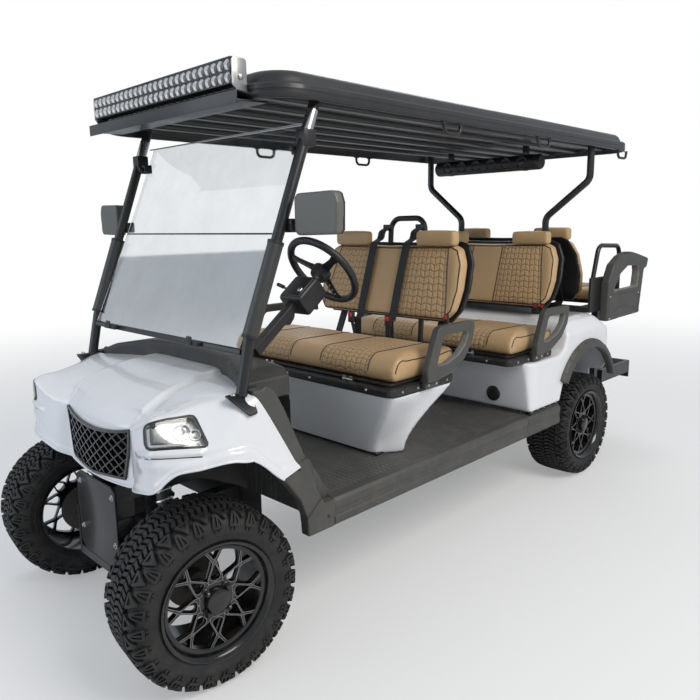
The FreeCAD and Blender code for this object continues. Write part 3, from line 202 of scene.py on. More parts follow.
class ShaderKit:
    """Effects that several finishes use, each built once as a node group."""

    @staticmethod
    @cache
    def grain() -> NodeTree:
        """Fine moulded or leather grain: height from cells and noise, both in object space."""
        tree = Tree("surface grain", "ShaderNodeTree")
        tree.takes("Place", "NodeSocketVector")
        tree.takes("Cells per metre", "NodeSocketFloat", 600.0)
        tree.gives("Height", "NodeSocketFloat")
        tree.gives("Patches", "NodeSocketFloat")
        place = tree.given("Place")
        cells = tree.put("ShaderNodeTexVoronoi", {"Vector": place, "Scale": tree.given("Cells per metre")},
                         feature="F1")
        noise = tree.put("ShaderNodeTexNoise", {"Vector": place, "Scale": 55.0, "Detail": 5.0})
        broad = tree.put("ShaderNodeTexNoise", {"Vector": place, "Scale": 6.0, "Detail": 6.0, "Roughness": 0.65})
        height = tree.maths("ADD", cells.outputs["Distance"], noise.outputs["Fac"])
        return tree.end(Height=height, Patches=broad.outputs["Fac"])

    @staticmethod
    @cache
    def soiling() -> NodeTree:
        """Road dust that thickens towards the ground, and scuffs, over a base colour."""
        tree = Tree("road soiling", "ShaderNodeTree")
        tree.takes("Place", "NodeSocketVector")
        tree.takes("Base", "NodeSocketColor", (0.1, 0.1, 0.1, 1.0))
        tree.takes("Dust", "NodeSocketColor", (0.2, 0.18, 0.15, 1.0))
        tree.takes("Amount", "NodeSocketFloat", 0.3)
        tree.takes("Reach", "NodeSocketFloat", 0.9)
        tree.gives("Colour", "NodeSocketColor")
        tree.gives("Mask", "NodeSocketFloat")
        place = tree.given("Place")
        split = tree.put("ShaderNodeSeparateXYZ", {0: place})
        low = tree.put("ShaderNodeMapRange", {"Value": split.outputs["Z"], "From Min": 0.0,
                                              "From Max": tree.given("Reach"), "To Min": 1.0, "To Max": 0.25})
        noise = tree.put("ShaderNodeTexNoise", {"Vector": place, "Scale": 14.0, "Detail": 8.0, "Roughness": 0.7})
        spread = tree.put("ShaderNodeMapRange", {"Value": noise.outputs["Fac"], "From Min": 0.42, "From Max": 0.72})
        amount = tree.maths("MULTIPLY", low.outputs[0], tree.given("Amount"))
        mask = tree.maths("MULTIPLY", amount, spread.outputs[0], use_clamp=True)
        mix = tree.put("ShaderNodeMix", {0: mask, 6: tree.given("Base"), 7: tree.given("Dust")}, data_type="RGBA")
        return tree.end(Colour=mix.outputs[2], Mask=mask)

    @staticmethod
    @cache
    def herringbone() -> NodeTree:
        """Columns of sewn chevrons: lines and the pillows between them, from a cloth map in metres."""
        tree = Tree("herringbone quilting", "ShaderNodeTree")
        tree.takes("Across", "NodeSocketFloat")
        tree.takes("Along", "NodeSocketFloat")
        for name, default in (("Column", 0.034), ("Pitch", 0.032), ("Rise", 0.011), ("Panel start", 0.1),
                              ("Panel end", 0.39)):
            tree.takes(name, "NodeSocketFloat", default)
        tree.gives("Height", "NodeSocketFloat")
        tree.gives("Line", "NodeSocketFloat")
        across, column = tree.given("Across"), tree.given("Column")
        half = tree.maths("MULTIPLY", column, 0.5)
        zig = tree.maths("PINGPONG", across, column)
        ratio = tree.maths("DIVIDE", zig, column)
        lift = tree.maths("MULTIPLY", ratio, tree.given("Rise"))
        along = tree.maths("ADD", tree.given("Along"), lift)
        half_pitch = tree.maths("MULTIPLY", tree.given("Pitch"), 0.5)
        rows = tree.maths("PINGPONG", along, half_pitch)
        columns = tree.maths("PINGPONG", across, half)
        near = tree.maths("MINIMUM", rows, columns)
        size = tree.maths("ABSOLUTE", across)
        start = tree.maths("GREATER_THAN", size, tree.given("Panel start"))
        stop = tree.maths("LESS_THAN", size, tree.given("Panel end"))
        inside = tree.maths("MULTIPLY", start, stop)
        pillow = tree.put("ShaderNodeMapRange", {"Value": near, "From Min": 0.0, "From Max": 0.007},
                          interpolation_type="SMOOTHSTEP")
        stitch = tree.put("ShaderNodeMapRange", {"Value": near, "From Min": 0.0006, "From Max": 0.0026,
                                                 "To Min": 1.0, "To Max": 0.0}, interpolation_type="SMOOTHSTEP")
        height = tree.maths("MULTIPLY", pillow.outputs[0], inside)
        line = tree.maths("MULTIPLY", stitch.outputs[0], inside)
        return tree.end(Height=height, Line=line)

    @staticmethod
    @cache
    def ribs() -> NodeTree:
        """Raised wavy treads of a floor mat, or the threads of a webbing, from object space."""
        tree = Tree("wavy ribs", "ShaderNodeTree")
        tree.takes("Place", "NodeSocketVector")
        for name, default in (("Pitch", 0.018), ("Wave", 0.004), ("Wave length", 0.028)):
            tree.takes(name, "NodeSocketFloat", default)
        tree.gives("Height", "NodeSocketFloat")
        split = tree.put("ShaderNodeSeparateXYZ", {0: tree.given("Place")})
        half_wave = tree.maths("MULTIPLY", tree.given("Wave length"), 0.5)
        zig = tree.maths("PINGPONG", split.outputs["X"], half_wave)
        share = tree.maths("DIVIDE", zig, half_wave)
        sway = tree.maths("MULTIPLY", share, tree.given("Wave"))
        along = tree.maths("ADD", split.outputs["Y"], sway)
        half = tree.maths("MULTIPLY", tree.given("Pitch"), 0.5)
        rows = tree.maths("PINGPONG", along, half)
        level = tree.maths("DIVIDE", rows, half)
        shaped = tree.put("ShaderNodeMapRange", {"Value": level, "From Min": 0.3, "From Max": 0.6},
                          interpolation_type="SMOOTHSTEP")
        return tree.end(Height=shaped.outputs[0])


@dataclass(frozen=True)
class Finish:
    """One surface finish of the cart."""

    name: str
    colour: Point3
    roughness: float
    metallic: float = 0.0
    coat: float = 0.0
    cells: float = 700.0
    grain: float = 0.06
    mottle: float = 0.12
    soil: float = 0.0
    soil_colour: Point3 = (0.21, 0.185, 0.15)
    soil_reach: float = 0.9
    sheen: float = 0.0

    @cache
    def material(self) -> Material:
        """Blender material of this finish, built the first time it is asked for."""
        return self.build()

    def build(self) -> Material:
        """Lay out the material: base, soiling, mottled gloss and grain."""
        material = bpy.data.materials.new(self.name)
        material.use_nodes = True
        tree = material.node_tree
        place = put(tree, "ShaderNodeTexCoord").outputs["Object"]
        grain = put(tree, "ShaderNodeGroup", {"Place": place, "Cells per metre": self.cells},
                    node_tree=ShaderKit.grain())
        colour = self.base(tree, place, grain)
        soil = put(tree, "ShaderNodeGroup", {
            "Place": place, "Base": colour, "Dust": (*self.soil_colour, 1.0), "Amount": self.soil,
            "Reach": self.soil_reach}, node_tree=ShaderKit.soiling())
        gloss = put(tree, "ShaderNodeMapRange", {
            "Value": grain.outputs["Patches"], "From Min": 0.3, "From Max": 0.7,
            "To Min": max(0.02, self.roughness * (1.0 - self.mottle)),
            "To Max": min(1.0, self.roughness * (1.0 + self.mottle))})
        dull = maths(tree, "MULTIPLY", soil.outputs["Mask"], 0.35)
        rough = maths(tree, "ADD", gloss.outputs[0], dull, use_clamp=True)
        height = self.relief(tree, place, grain)
        bump = put(tree, "ShaderNodeBump", {"Strength": 1.0, "Distance": self.grain / MM, "Height": height})
        feed(tree, tree.nodes["Principled BSDF"], {
            "Base Color": soil.outputs["Colour"], "Roughness": rough, "Normal": bump.outputs["Normal"],
            "Metallic": self.metallic, "Coat Weight": self.coat, "Coat Roughness": 0.06,
            "Sheen Weight": self.sheen})
        return material

    def base(self, tree: NodeTree, place: NodeSocket,
             grain: Node) -> NodeSocket:
        """Base colour with a faint drift from patch to patch."""
        darker = tuple(c * (1.0 - self.mottle * 0.6) for c in self.colour)
        mix = put(tree, "ShaderNodeMix", {0: grain.outputs["Patches"], 6: (*darker, 1.0), 7: (*self.colour, 1.0)},
                  data_type="RGBA")
        return mix.outputs[2]

    def relief(self, tree: NodeTree, place: NodeSocket,
               grain: Node) -> NodeSocket:
        """Height that feeds the bump."""
        return grain.outputs["Height"]


@dataclass(frozen=True)
class QuiltedLeather(Finish):
    """Synthetic leather with sewn chevron columns in its side panels, on the cloth map."""

    column: float = 0.0285
    pitch: float = 0.032
    line_colour: Point3 = (0.10, 0.060, 0.030)

    def quilting(self, tree: NodeTree) -> Node:
        """The herringbone group on the piece's own map."""
        made = tree.nodes.get("quilting")
        if made:
            return made
        cloth = put(tree, "ShaderNodeUVMap", {}, uv_map="cloth")
        split = put(tree, "ShaderNodeSeparateXYZ", {0: cloth.outputs["UV"]})
        group = put(tree, "ShaderNodeGroup", {
            "Across": split.outputs["X"], "Along": split.outputs["Y"], "Column": self.column,
            "Pitch": self.pitch}, node_tree=ShaderKit.herringbone())
        group.name = "quilting"
        return group

    def base(self, tree: NodeTree, place: NodeSocket,
             grain: Node) -> NodeSocket:
        """Leather colour, darker in the stitched lines."""
        plain = super().base(tree, place, grain)
        shade = maths(tree, "MULTIPLY", self.quilting(tree).outputs["Line"], 0.75)
        mix = put(tree, "ShaderNodeMix", {0: shade, 6: plain, 7: (*self.line_colour, 1.0)}, data_type="RGBA")
        return mix.outputs[2]

    def relief(self, tree: NodeTree, place: NodeSocket,
               grain: Node) -> NodeSocket:
        """Pillows between the stitches, with leather grain over them."""
        fine = maths(tree, "MULTIPLY", grain.outputs["Height"], 0.035)
        return maths(tree, "ADD", self.quilting(tree).outputs["Height"], fine)


@dataclass(frozen=True)
class RibbedRubber(Finish):
    """Rubber mat or webbing with raised ribs."""

    pitch: float = 0.018
    wave: float = 0.005
    wave_length: float = 0.03

    def relief(self, tree: NodeTree, place: NodeSocket,
               grain: Node) -> NodeSocket:
        """Ribs with a little grain."""
        group = put(tree, "ShaderNodeGroup", {
            "Place": place, "Pitch": self.pitch, "Wave": self.wave, "Wave length": self.wave_length},
            node_tree=ShaderKit.ribs())
        fine = maths(tree, "MULTIPLY", grain.outputs["Height"], 0.06)
        return maths(tree, "ADD", group.outputs["Height"], fine)


@dataclass(frozen=True)
class ClearSheet(Finish):
    """Clear sheet or lens."""

    index: float = 1.45

    def build(self) -> Material:
        """Lay out the material with full transmission and faint smears."""
        material = super().build()
        tree = material.node_tree
        feed(tree, tree.nodes["Principled BSDF"], {"Transmission Weight": 1.0, "IOR": self.index})
        return material


PAINT = Finish("pearl white body", (0.80, 0.81, 0.83), 0.16, coat=0.7, cells=260.0, grain=0.012, mottle=0.08,
               soil=0.10, soil_colour=(0.42, 0.40, 0.36), soil_reach=0.75)
TRIM = Finish("grained grey trim", (0.062, 0.062, 0.058), 0.52, grain=0.16, mottle=0.18, soil=0.35)
TRIM_INNER = Finish("smooth light grey trim", (0.19, 0.19, 0.175), 0.42, grain=0.05, mottle=0.15, soil=0.1)
DASH = Finish("grained dash cover", (0.040, 0.040, 0.038), 0.48, grain=0.18, mottle=0.2, soil=0.25, soil_reach=1.4)
BLACK_PLASTIC = Finish("black moulded plastic", (0.014, 0.014, 0.015), 0.42, grain=0.10, mottle=0.18, soil=0.12)
BLACK_COAT = Finish("black powder coat", (0.012, 0.012, 0.013), 0.34, coat=0.15, cells=900.0, grain=0.05, mottle=0.15,
                    soil=0.14)
ROOF_BLACK = Finish("black roof moulding", (0.020, 0.020, 0.021), 0.38, coat=0.2, cells=500.0, grain=0.06, mottle=0.15,
                    soil=0.10, soil_reach=2.4)
SHELL = Finish("black seat shell", (0.010, 0.010, 0.011), 0.40, grain=0.12, mottle=0.15)
GRILLE_BLACK = Finish("gloss black mesh", (0.010, 0.010, 0.011), 0.26, coat=0.4, grain=0.03, soil=0.05)
RIM_BLACK = Finish("gloss black alloy", (0.004, 0.004, 0.0045), 0.2, coat=0.35, grain=0.01, mottle=0.2, soil=0.10)
MACHINED = Finish("machined alloy", (0.62, 0.61, 0.59), 0.24, metallic=1.0, cells=1800.0, grain=0.02, mottle=0.25)
RIM_EDGE = Finish("cut alloy edge", (0.46, 0.46, 0.45), 0.26, metallic=1.0, cells=1800.0, grain=0.02, mottle=0.4,
                  soil=0.4)
SLEEVE = Finish("grey post sleeve", (0.042, 0.044, 0.042), 0.36, grain=0.05, mottle=0.2, soil=0.1)
STEEL = Finish("zinc-plated steel", (0.55, 0.55, 0.54), 0.32, metallic=1.0, cells=1500.0, grain=0.02, mottle=0.3,
               soil=0.2)
CAST = Finish("cast and rolled steel", (0.09, 0.085, 0.08), 0.55, metallic=0.6, cells=400.0, grain=0.25, mottle=0.3,
              soil=0.55, soil_reach=0.6)
CHROME = Finish("bright chrome", (0.82, 0.82, 0.84), 0.06, metallic=1.0, grain=0.004, mottle=0.1)
TYRE = Finish("tread rubber", (0.0085, 0.0085, 0.009), 0.60, cells=500.0, grain=0.22, mottle=0.25, soil=0.42,
              soil_colour=(0.075, 0.069, 0.058), soil_reach=1.3)
TAN = QuiltedLeather("tan quilted leather", (0.52, 0.345, 0.175), 0.46, cells=1100.0, grain=2.2, mottle=0.12,
                     sheen=0.05)
TAN_PLAIN = Finish("tan plain leather", (0.52, 0.345, 0.175), 0.46, cells=1100.0, grain=0.10, mottle=0.12, sheen=0.05)
PIPING = Finish("black piping", (0.022, 0.017, 0.014), 0.5, grain=0.06)
BELT = RibbedRubber("black webbing", (0.014, 0.014, 0.017), 0.7, grain=0.35, pitch=0.0032, wave=0.0012,
                    wave_length=0.0024, sheen=0.1)
MAT = RibbedRubber("ribbed floor mat", (0.070, 0.071, 0.068), 0.55, grain=2.8, pitch=0.024, wave=0.008,
                    mottle=0.25, soil=0.45, soil_reach=0.9)
CLEAR = ClearSheet("clear acrylic sheet", (0.93, 0.96, 0.98), 0.03, grain=0.002, mottle=0.4)
LENS = ClearSheet("clear lamp lens", (0.95, 0.96, 0.97), 0.02, grain=0.004, mottle=0.2)
RED_LENS = Finish("red lens", (0.42, 0.012, 0.010), 0.12, coat=0.8, grain=0.03)
RED_BUTTON = Finish("red release button", (0.55, 0.02, 0.015), 0.35, grain=0.03)
MIRROR_BACK = Finish("grey mirror back", (0.125, 0.124, 0.112), 0.42, grain=0.10, mottle=0.15)
MIRROR = Finish("mirror glass", (0.85, 0.87, 0.88), 0.02, metallic=1.0, grain=0.001)
BATTERY = Finish("battery case", (0.10, 0.10, 0.11), 0.5)
DIFFUSER = Finish("diffuser strip", (0.75, 0.76, 0.78), 0.25, coat=0.4, grain=0.03)
DIODE = Finish("diode phosphor", (0.82, 0.78, 0.42), 0.4, grain=0.02)


# Mesh making

def make(name: str, points: Sequence[Sequence[float]], faces: Sequence[Sequence[int]],
         edges: Sequence[tuple[int, int]] = ()) -> Object:
    """New mesh object at the origin, its points in metres."""
    mesh = bpy.data.meshes.new(name)
    mesh.from_pydata([tuple(p) for p in points], list(edges), [tuple(f) for f in faces])
    mesh.update()
    obj = bpy.data.objects.new(name, mesh)
    bpy.context.scene.collection.objects.link(obj)
    return obj


def surface_of(obj: Object) -> BVHTree:
    """Surface of an object that rays can be cast at."""
    mesh = obj.data
    return BVHTree.FromPolygons([v.co for v in mesh.vertices], [p.vertices[:] for p in mesh.polygons])


def remove(*objects: Object) -> None:
    """Delete helper objects with their meshes."""
    for obj in objects:
        mesh = obj.data
        bpy.data.objects.remove(obj)
        if mesh and mesh.users == 0:
            bpy.data.meshes.remove(mesh)


def outward(obj: Object) -> Object:
    """Merge doubled points and turn all faces outwards."""
    work = bmesh.new()
    work.from_mesh(obj.data)
    bmesh.ops.remove_doubles(work, verts=work.verts, dist=1e-6)
    bmesh.ops.recalc_face_normals(work, faces=work.faces)
    work.to_mesh(obj.data)
    work.free()
    return obj


def settle(obj: Object) -> Object:
    """Turn the object's modifiers into its plain mesh."""
    graph = bpy.context.evaluated_depsgraph_get()
    graph.update()
    mesh = bpy.data.meshes.new_from_object(obj.evaluated_get(graph), preserve_all_data_layers=True, depsgraph=graph)
    obj.modifiers.clear()
    obj.data = mesh
    mesh.name = obj.name
    return obj


def joined(name: str, parts: Sequence[Object]) -> Object:
    """One mesh object of several, whose materials stay with their faces.

    Args:
        name: Name of the object.
        parts: Objects that it is made of; they are used up.

    Returns:
        The new object.
    """
    work = bmesh.new()
    materials: list[Material] = []
    for part in parts:
        start = len(work.faces)
        work.from_mesh(part.data)
        work.faces.ensure_lookup_table()
        slots = list(part.data.materials)
        for face in work.faces[start:]:
            if slots:
                own = slots[min(face.material_index, len(slots) - 1)]
                if own not in materials:
                    materials.append(own)
                face.material_index = materials.index(own)
    mesh = bpy.data.meshes.new(name)
    work.to_mesh(mesh)
    work.free()
    for material in materials:
        mesh.materials.append(material)
    remove(*parts)
    obj = bpy.data.objects.new(name, mesh)
    bpy.context.scene.collection.objects.link(obj)
    return obj


def turned(axis: Axis, u: float, v: float, w: float) -> Point3:
    """Place of an outline's point (u, v) at a length w along its axis."""
    if axis is Axis.X:
        return w, u, v
    return (u, w, v) if axis is Axis.Y else (u, v, w)


def prism(name: str, axis: Axis, outline: Sequence[Point2], low: float, high: float) -> Object:
    """Closed prism of an outline in millimetres.

    Args:
        name: Name of the object.
        axis: X takes (y, z) points, Y takes (x, z) and Z takes (x, y).
        outline: Corners in order.
        low: Start along the axis.
        high: End along the axis.

    Returns:
        The new object.
    """
    return rings(name, [[at(*turned(axis, u, v, w)) for u, v in outline] for w in (low, high)])


def block(name: str, x: Point2, y: Point2, z: Point2) -> Object:
    """Box between two corners in millimetres."""
    return prism(name, Axis.Z, [(x[0], y[0]), (x[1], y[0]), (x[1], y[1]), (x[0], y[1])], z[0], z[1])


def bevelled(obj: Object, width: float, segments: int = 3, angle: float = 30.0) -> Object:
    """Round the object's edges.

    Args:
        obj: Object with edges.
        width: Width in millimetres.
        segments: Faces across an edge.
        angle: Edges sharper than this, in degrees, are rounded.

    Returns:
        The same object.
    """
    bevel = obj.modifiers.new("edges", "BEVEL")
    bevel.width = width / MM
    bevel.segments = segments
    bevel.limit_method = "ANGLE"
    bevel.angle_limit = math.radians(angle)
    return settle(obj)


def carved(obj: Object, others: Sequence[Object], how: str = "DIFFERENCE") -> Object:
    """Cut, join or cross the object with others.

    Args:
        obj: Closed object.
        others: Closed objects; they are used up.
        how: Name of the Boolean modifier's operation.

    Returns:
        The same object.
    """
    for other in others:
        cut = obj.modifiers.new("cut", "BOOLEAN")
        cut.operation = how
        cut.object = other
        cut.solver = "EXACT"
        settle(obj)
    remove(*others)
    return obj


def moulded(obj: Object, voxel: float, passes: int) -> Object:
    """Remesh evenly and smooth, so that the edges round over as on a moulding.

    Args:
        obj: Closed object.
        voxel: Mesh size in millimetres.
        passes: Smoothing passes.

    Returns:
        The same object.
    """
    coarse = 1.0
    mesh = obj.modifiers.new("even", "REMESH")
    mesh.mode = "VOXEL"
    mesh.voxel_size = voxel * coarse / MM
    soften = obj.modifiers.new("soften", "SMOOTH")
    soften.iterations = passes
    soften.factor = 0.5
    return settle(obj)


def walled(obj: Object, wall: float) -> Object:
    """Give an open skin a wall inwards, in millimetres."""
    thick = obj.modifiers.new("wall", "SOLIDIFY")
    thick.thickness = wall / MM
    thick.offset = -1.0
    return settle(obj)


def flowing(points: Sequence[Sequence[float]], steps: int) -> list[tuple[float, ...]]:
    """Points on a smooth open curve through the given ones.

    Args:
        points: Points that the curve goes through.
        steps: Steps from one to the next.

    Returns:
        The points of the curve, with both ends.
    """
    data = np.array(points, float)
    last = len(data) - 1
    out: list[tuple[float, ...]] = []
    for i in range(last):
        a, b, c, d = data[max(i - 1, 0)], data[i], data[i + 1], data[min(i + 2, last)]
        for step in range(steps):
            t = step / steps
            out.append(tuple(0.5 * (2 * b + (c - a) * t + (2 * a - 5 * b + 4 * c - d) * t * t
                                    + (3 * b - a - 3 * c + d) * t ** 3)))
    out.append(tuple(data[-1]))
    return out


def both(half: Sequence[Point2]) -> list[Point2]:
    """Half outline from the centre outwards, closed with its mirror image."""
    return list(half) + [(-x, v) for x, v in reversed(half) if x > 0]


def lathe(name: str, profile: Sequence[Point2], segments: int) -> Object:
    """Solid of revolution about the X axis through the origin.

    Args:
        name: Name of the object.
        profile: Closed profile as (across, radius) in millimetres.
        segments: Steps round the axis.

    Returns:
        The new object.
    """
    points: list[Point3] = []
    for k in range(segments):
        angle = 2 * math.pi * k / segments
        for a, r in profile:
            points.append((a / MM, r * math.sin(angle) / MM, r * math.cos(angle) / MM))
    count = len(profile)
    faces = []
    for k in range(segments):
        n = (k + 1) % segments
        for i in range(count):
            j = (i + 1) % count
            faces.append((k * count + i, k * count + j, n * count + j, n * count + i))
    return outward(make(name, points, faces))


def mirrored(obj: Object, name: str | None = None) -> Object:
    """Copy on the cart's other side, faces still outwards."""
    return placed_copy(obj, Matrix.Scale(-1.0, 4, Vector((1, 0, 0))), name or obj.name + "_right")


def placed_copy(obj: Object, move: Matrix, name: str) -> Object:
    """Copy of an object with a move in its mesh.

    Args:
        obj: Object to copy.
        move: Move in metres; a mirroring one turns the faces back outwards.
        name: Name of the copy.

    Returns:
        The copy.
    """
    mesh = obj.data.copy()
    mesh.transform(move)
    if move.determinant() < 0:
        mesh.flip_normals()
    twin = bpy.data.objects.new(name, mesh)
    bpy.context.scene.collection.objects.link(twin)
    return twin


def pair(obj: Object) -> Object:
    """The object and its mirror image as one piece."""
    name = obj.name
    return joined(name, [obj, mirrored(obj)])


def dressed(obj: Object, finish: Finish, body: str = "chassis", stands_for: Sequence[str] = (),
            angle: float = 35.0) -> Object:
    """Give a piece its finish, its body and the nodes that it stands for, and report it.

    Args:
        obj: Piece in its final place.
        finish: Finish of all its faces, unless they have materials already.
        body: Body that it moves with.
        stands_for: Nodes that it replaces.
        angle: Edges sharper than this, in degrees, stay sharp.

    Returns:
        The same piece.
    """
    obj.name = obj.name.replace(" ", "_")
    if not obj.data.materials:
        obj.data.materials.append(finish.material())
    obj.data.shade_smooth()
    obj.data.set_sharp_from_angle(angle=math.radians(angle))
    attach(obj, body)
    if stands_for:
        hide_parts(*stands_for)
    LOG.info("%s on %s", obj.name, body)
    return obj


def coloured(obj: Object, finish: Finish) -> Object:
    """Give all faces one finish, before the object is joined with others."""
    obj.data.materials.clear()
    obj.data.materials.append(finish.material())
    return obj


def slab(finish: Finish, name: str, x: Point2, y: Point2, z: Point2, edge: float,
         segments: int = 2) -> Object:
    """Box between two corners in millimetres, with rounded edges, in one finish."""
    return coloured(bevelled(block(name, x, y, z), edge, segments), finish)


def pivot(place: Vector, degrees: float, axis: Axis) -> Matrix:
    """Turn about a place in metres."""
    turn = Matrix.Rotation(math.radians(degrees), 4, axis.name)
    return Matrix.Translation(place) @ turn @ Matrix.Translation(-place)


# Geometry node trees for what repeats or follows a path

class RepeatKit:
    """Trees that sweep a section along a path and set copies of an item out."""

    @staticmethod
    @cache
    def path() -> NodeTree:
        """Round bar along an edge path with rounded bends."""
        tree = Tree("bar along a path", "GeometryNodeTree")
        tree.gives("Geometry", "NodeSocketGeometry")
        tree.takes("Geometry", "NodeSocketGeometry")
        tree.takes("Radius", "NodeSocketFloat", 0.01)
        tree.takes("Bend", "NodeSocketFloat", 0.05)
        tree.takes("Sides", "NodeSocketInt", 20)
        tree.takes("Finish", "NodeSocketMaterial")
        curve = tree.put("GeometryNodeMeshToCurve", {0: tree.given("Geometry")})
        bends = tree.put("GeometryNodeFilletCurve", {"Curve": curve.outputs[0], "Radius": tree.given("Bend"),
                                                     "Limit Radius": True, "Count": 8}, mode="POLY")
        ring = tree.put("GeometryNodeCurvePrimitiveCircle", {"Resolution": tree.given("Sides"),
                                                             "Radius": tree.given("Radius")})
        bar = tree.put("GeometryNodeCurveToMesh", {"Curve": bends.outputs[0], "Profile Curve": ring.outputs[0],
                                                   "Fill Caps": True})
        coat = tree.put("GeometryNodeSetMaterial", {"Geometry": bar.outputs[0], "Material": tree.given("Finish")})
        return tree.end(Geometry=coat.outputs[0])

    @staticmethod
    @cache
    def wheel_ring() -> NodeTree:
        """Copies of an item turned evenly about the X axis."""
        tree = Tree("items round an axle", "GeometryNodeTree")
        tree.gives("Geometry", "NodeSocketGeometry")
        tree.takes("Geometry", "NodeSocketGeometry")
        tree.takes("Item", "NodeSocketObject")
        tree.takes("Count", "NodeSocketInt", 8)
        tree.takes("Finish", "NodeSocketMaterial")
        points = tree.put("GeometryNodePoints", {"Count": tree.given("Count")})
        index = tree.put("GeometryNodeInputIndex")
        step = tree.maths("DIVIDE", 2 * math.pi, tree.given("Count"))
        turn = tree.maths("MULTIPLY", index.outputs[0], step)
        euler = tree.put("ShaderNodeCombineXYZ", {0: turn})
        item = tree.put("GeometryNodeObjectInfo", {0: tree.given("Item")})
        copies = tree.put("GeometryNodeInstanceOnPoints", {"Points": points.outputs[0],
                                                           "Instance": item.outputs["Geometry"],
                                                           "Rotation": euler.outputs[0]})
        real = tree.put("GeometryNodeRealizeInstances", {0: copies.outputs[0]})
        coat = tree.put("GeometryNodeSetMaterial", {"Geometry": real.outputs[0], "Material": tree.given("Finish")})
        return tree.end(Geometry=coat.outputs[0])

    @staticmethod
    @cache
    def at_points() -> NodeTree:
        """Copies of an item on the points of a mesh, its Z along each point's aim."""
        tree = Tree("items at points", "GeometryNodeTree")
        tree.gives("Geometry", "NodeSocketGeometry")
        tree.takes("Geometry", "NodeSocketGeometry")
        tree.takes("Item", "NodeSocketObject")
        tree.takes("Finish", "NodeSocketMaterial")
        aim = tree.put("GeometryNodeInputNamedAttribute", {"Name": "aim"}, data_type="FLOAT_VECTOR")
        turn = tree.put("FunctionNodeAlignRotationToVector", {"Vector": aim.outputs[0]}, axis="Z")
        item = tree.put("GeometryNodeObjectInfo", {0: tree.given("Item")})
        copies = tree.put("GeometryNodeInstanceOnPoints", {"Points": tree.given("Geometry"),
                                                           "Instance": item.outputs["Geometry"],
                                                           "Rotation": turn.outputs[0]})
        real = tree.put("GeometryNodeRealizeInstances", {0: copies.outputs[0]})
        coat = tree.put("GeometryNodeSetMaterial", {"Geometry": real.outputs[0], "Material": tree.given("Finish")})
        return tree.end(Geometry=coat.outputs[0])


def run_tree(obj: Object, tree: NodeTree, values: dict[str, Any]) -> Object:
    """Run a geometry tree on an object and keep the result as its plain mesh.

    Args:
        obj: Object that the tree starts from.
        tree: The tree.
        values: Values of its named inputs.

    Returns:
        The same object.
    """
    modifier = obj.modifiers.new("repeat", "NODES")
    modifier.node_group = tree
    sockets = {item.name: item.identifier for item in tree.interface.items_tree
               if item.item_type == "SOCKET" and item.in_out == "INPUT"}
    for name, value in values.items():
        modifier[sockets[name]] = value
    return settle(obj)


def tube(name: str, route: Sequence[Point3], radius: float, finish: Finish, bend: float = 40.0, sides: int = 20,
         shift: bool = True) -> Object:
    """Round bar through points given in millimetres.

    Args:
        name: Name of the object.
        route: Corners of the bar's centre line.
        radius: Radius of the bar.
        finish: Its finish.
        bend: Radius of its bends.
        sides: Faces round it.
        shift: False where the route is about a part's own origin.

    Returns:
        The new object.
    """
    points = [spot(p, shift) for p in route]
    edges = [(i, i + 1) for i in range(len(points) - 1)]
    obj = make(name, points, [], edges)
    return outward(run_tree(obj, RepeatKit.path(), {"Radius": radius / MM, "Bend": bend / MM,
                                                    "Sides": sides, "Finish": finish.material()}))


def ring_of(name: str, item: Object, count: int, finish: Finish) -> Object:
    """Copies of an item round the X axis, which use the item up."""
    obj = make(name, [], [])
    run_tree(obj, RepeatKit.wheel_ring(), {"Item": item, "Count": count, "Finish": finish.material()})
    remove(item)
    return obj


def set_out(name: str, item: Object, places: Sequence[tuple[Vector, Point3]],
            finish: Finish) -> Object:
    """Copies of an item at places, each with its own aim.

    Args:
        name: Name of the object.
        item: Item about the origin; it is used up.
        places: Place in metres and direction of the item's Z axis, for each copy.
        finish: Their finish.

    Returns:
        One object with all copies.
    """
    obj = make(name, [p for p, _ in places], [])
    aim = obj.data.attributes.new("aim", "FLOAT_VECTOR", "POINT")
    aim.data.foreach_set("vector", [c for _, a in places for c in a])
    run_tree(obj, RepeatKit.at_points(), {"Item": item, "Finish": finish.material()})
    remove(item)
    return obj


def bolt(head: float, height: float) -> Object:
    """Domed button head with a socket, its Z axis outwards from the origin, in millimetres."""
    profile = ((0.42 * head, 0.35 * height), (0.42 * head, height), (0.75 * head, 0.85 * height),
               (head, 0.25 * height), (head, -1.0))
    return rings("bolt", [[Vector((r * math.cos(a) / MM, r * math.sin(a) / MM, z / MM))
                           for a in (2 * math.pi * k / 12 for k in range(12))] for r, z in profile])


def inset(outline: Sequence[Point2], by: float) -> list[Point2]:
    """Outline moved inwards.

    Args:
        outline: Corners in order.
        by: Distance in millimetres, outwards where it is negative.

    Returns:
        The moved corners.
    """
    count = len(outline)
    area = sum(outline[i][0] * outline[(i + 1) % count][1] - outline[(i + 1) % count][0] * outline[i][1]
               for i in range(count))
    turn = 1.0 if area > 0 else -1.0
    moved: list[Point2] = []
    for i in range(count):
        before, here, after = Vector(outline[i - 1]), Vector(outline[i]), Vector(outline[(i + 1) % count])
        into = (here - before).normalized()
        out = (after - here).normalized()
        left = Vector((-into.y, into.x)) * turn
        right = Vector((-out.y, out.x)) * turn
        corner = (left + right).normalized()
        reach = by / max(0.35, corner.dot(left))
        spot = here + corner * reach
        moved.append((spot.x, spot.y))
    return moved


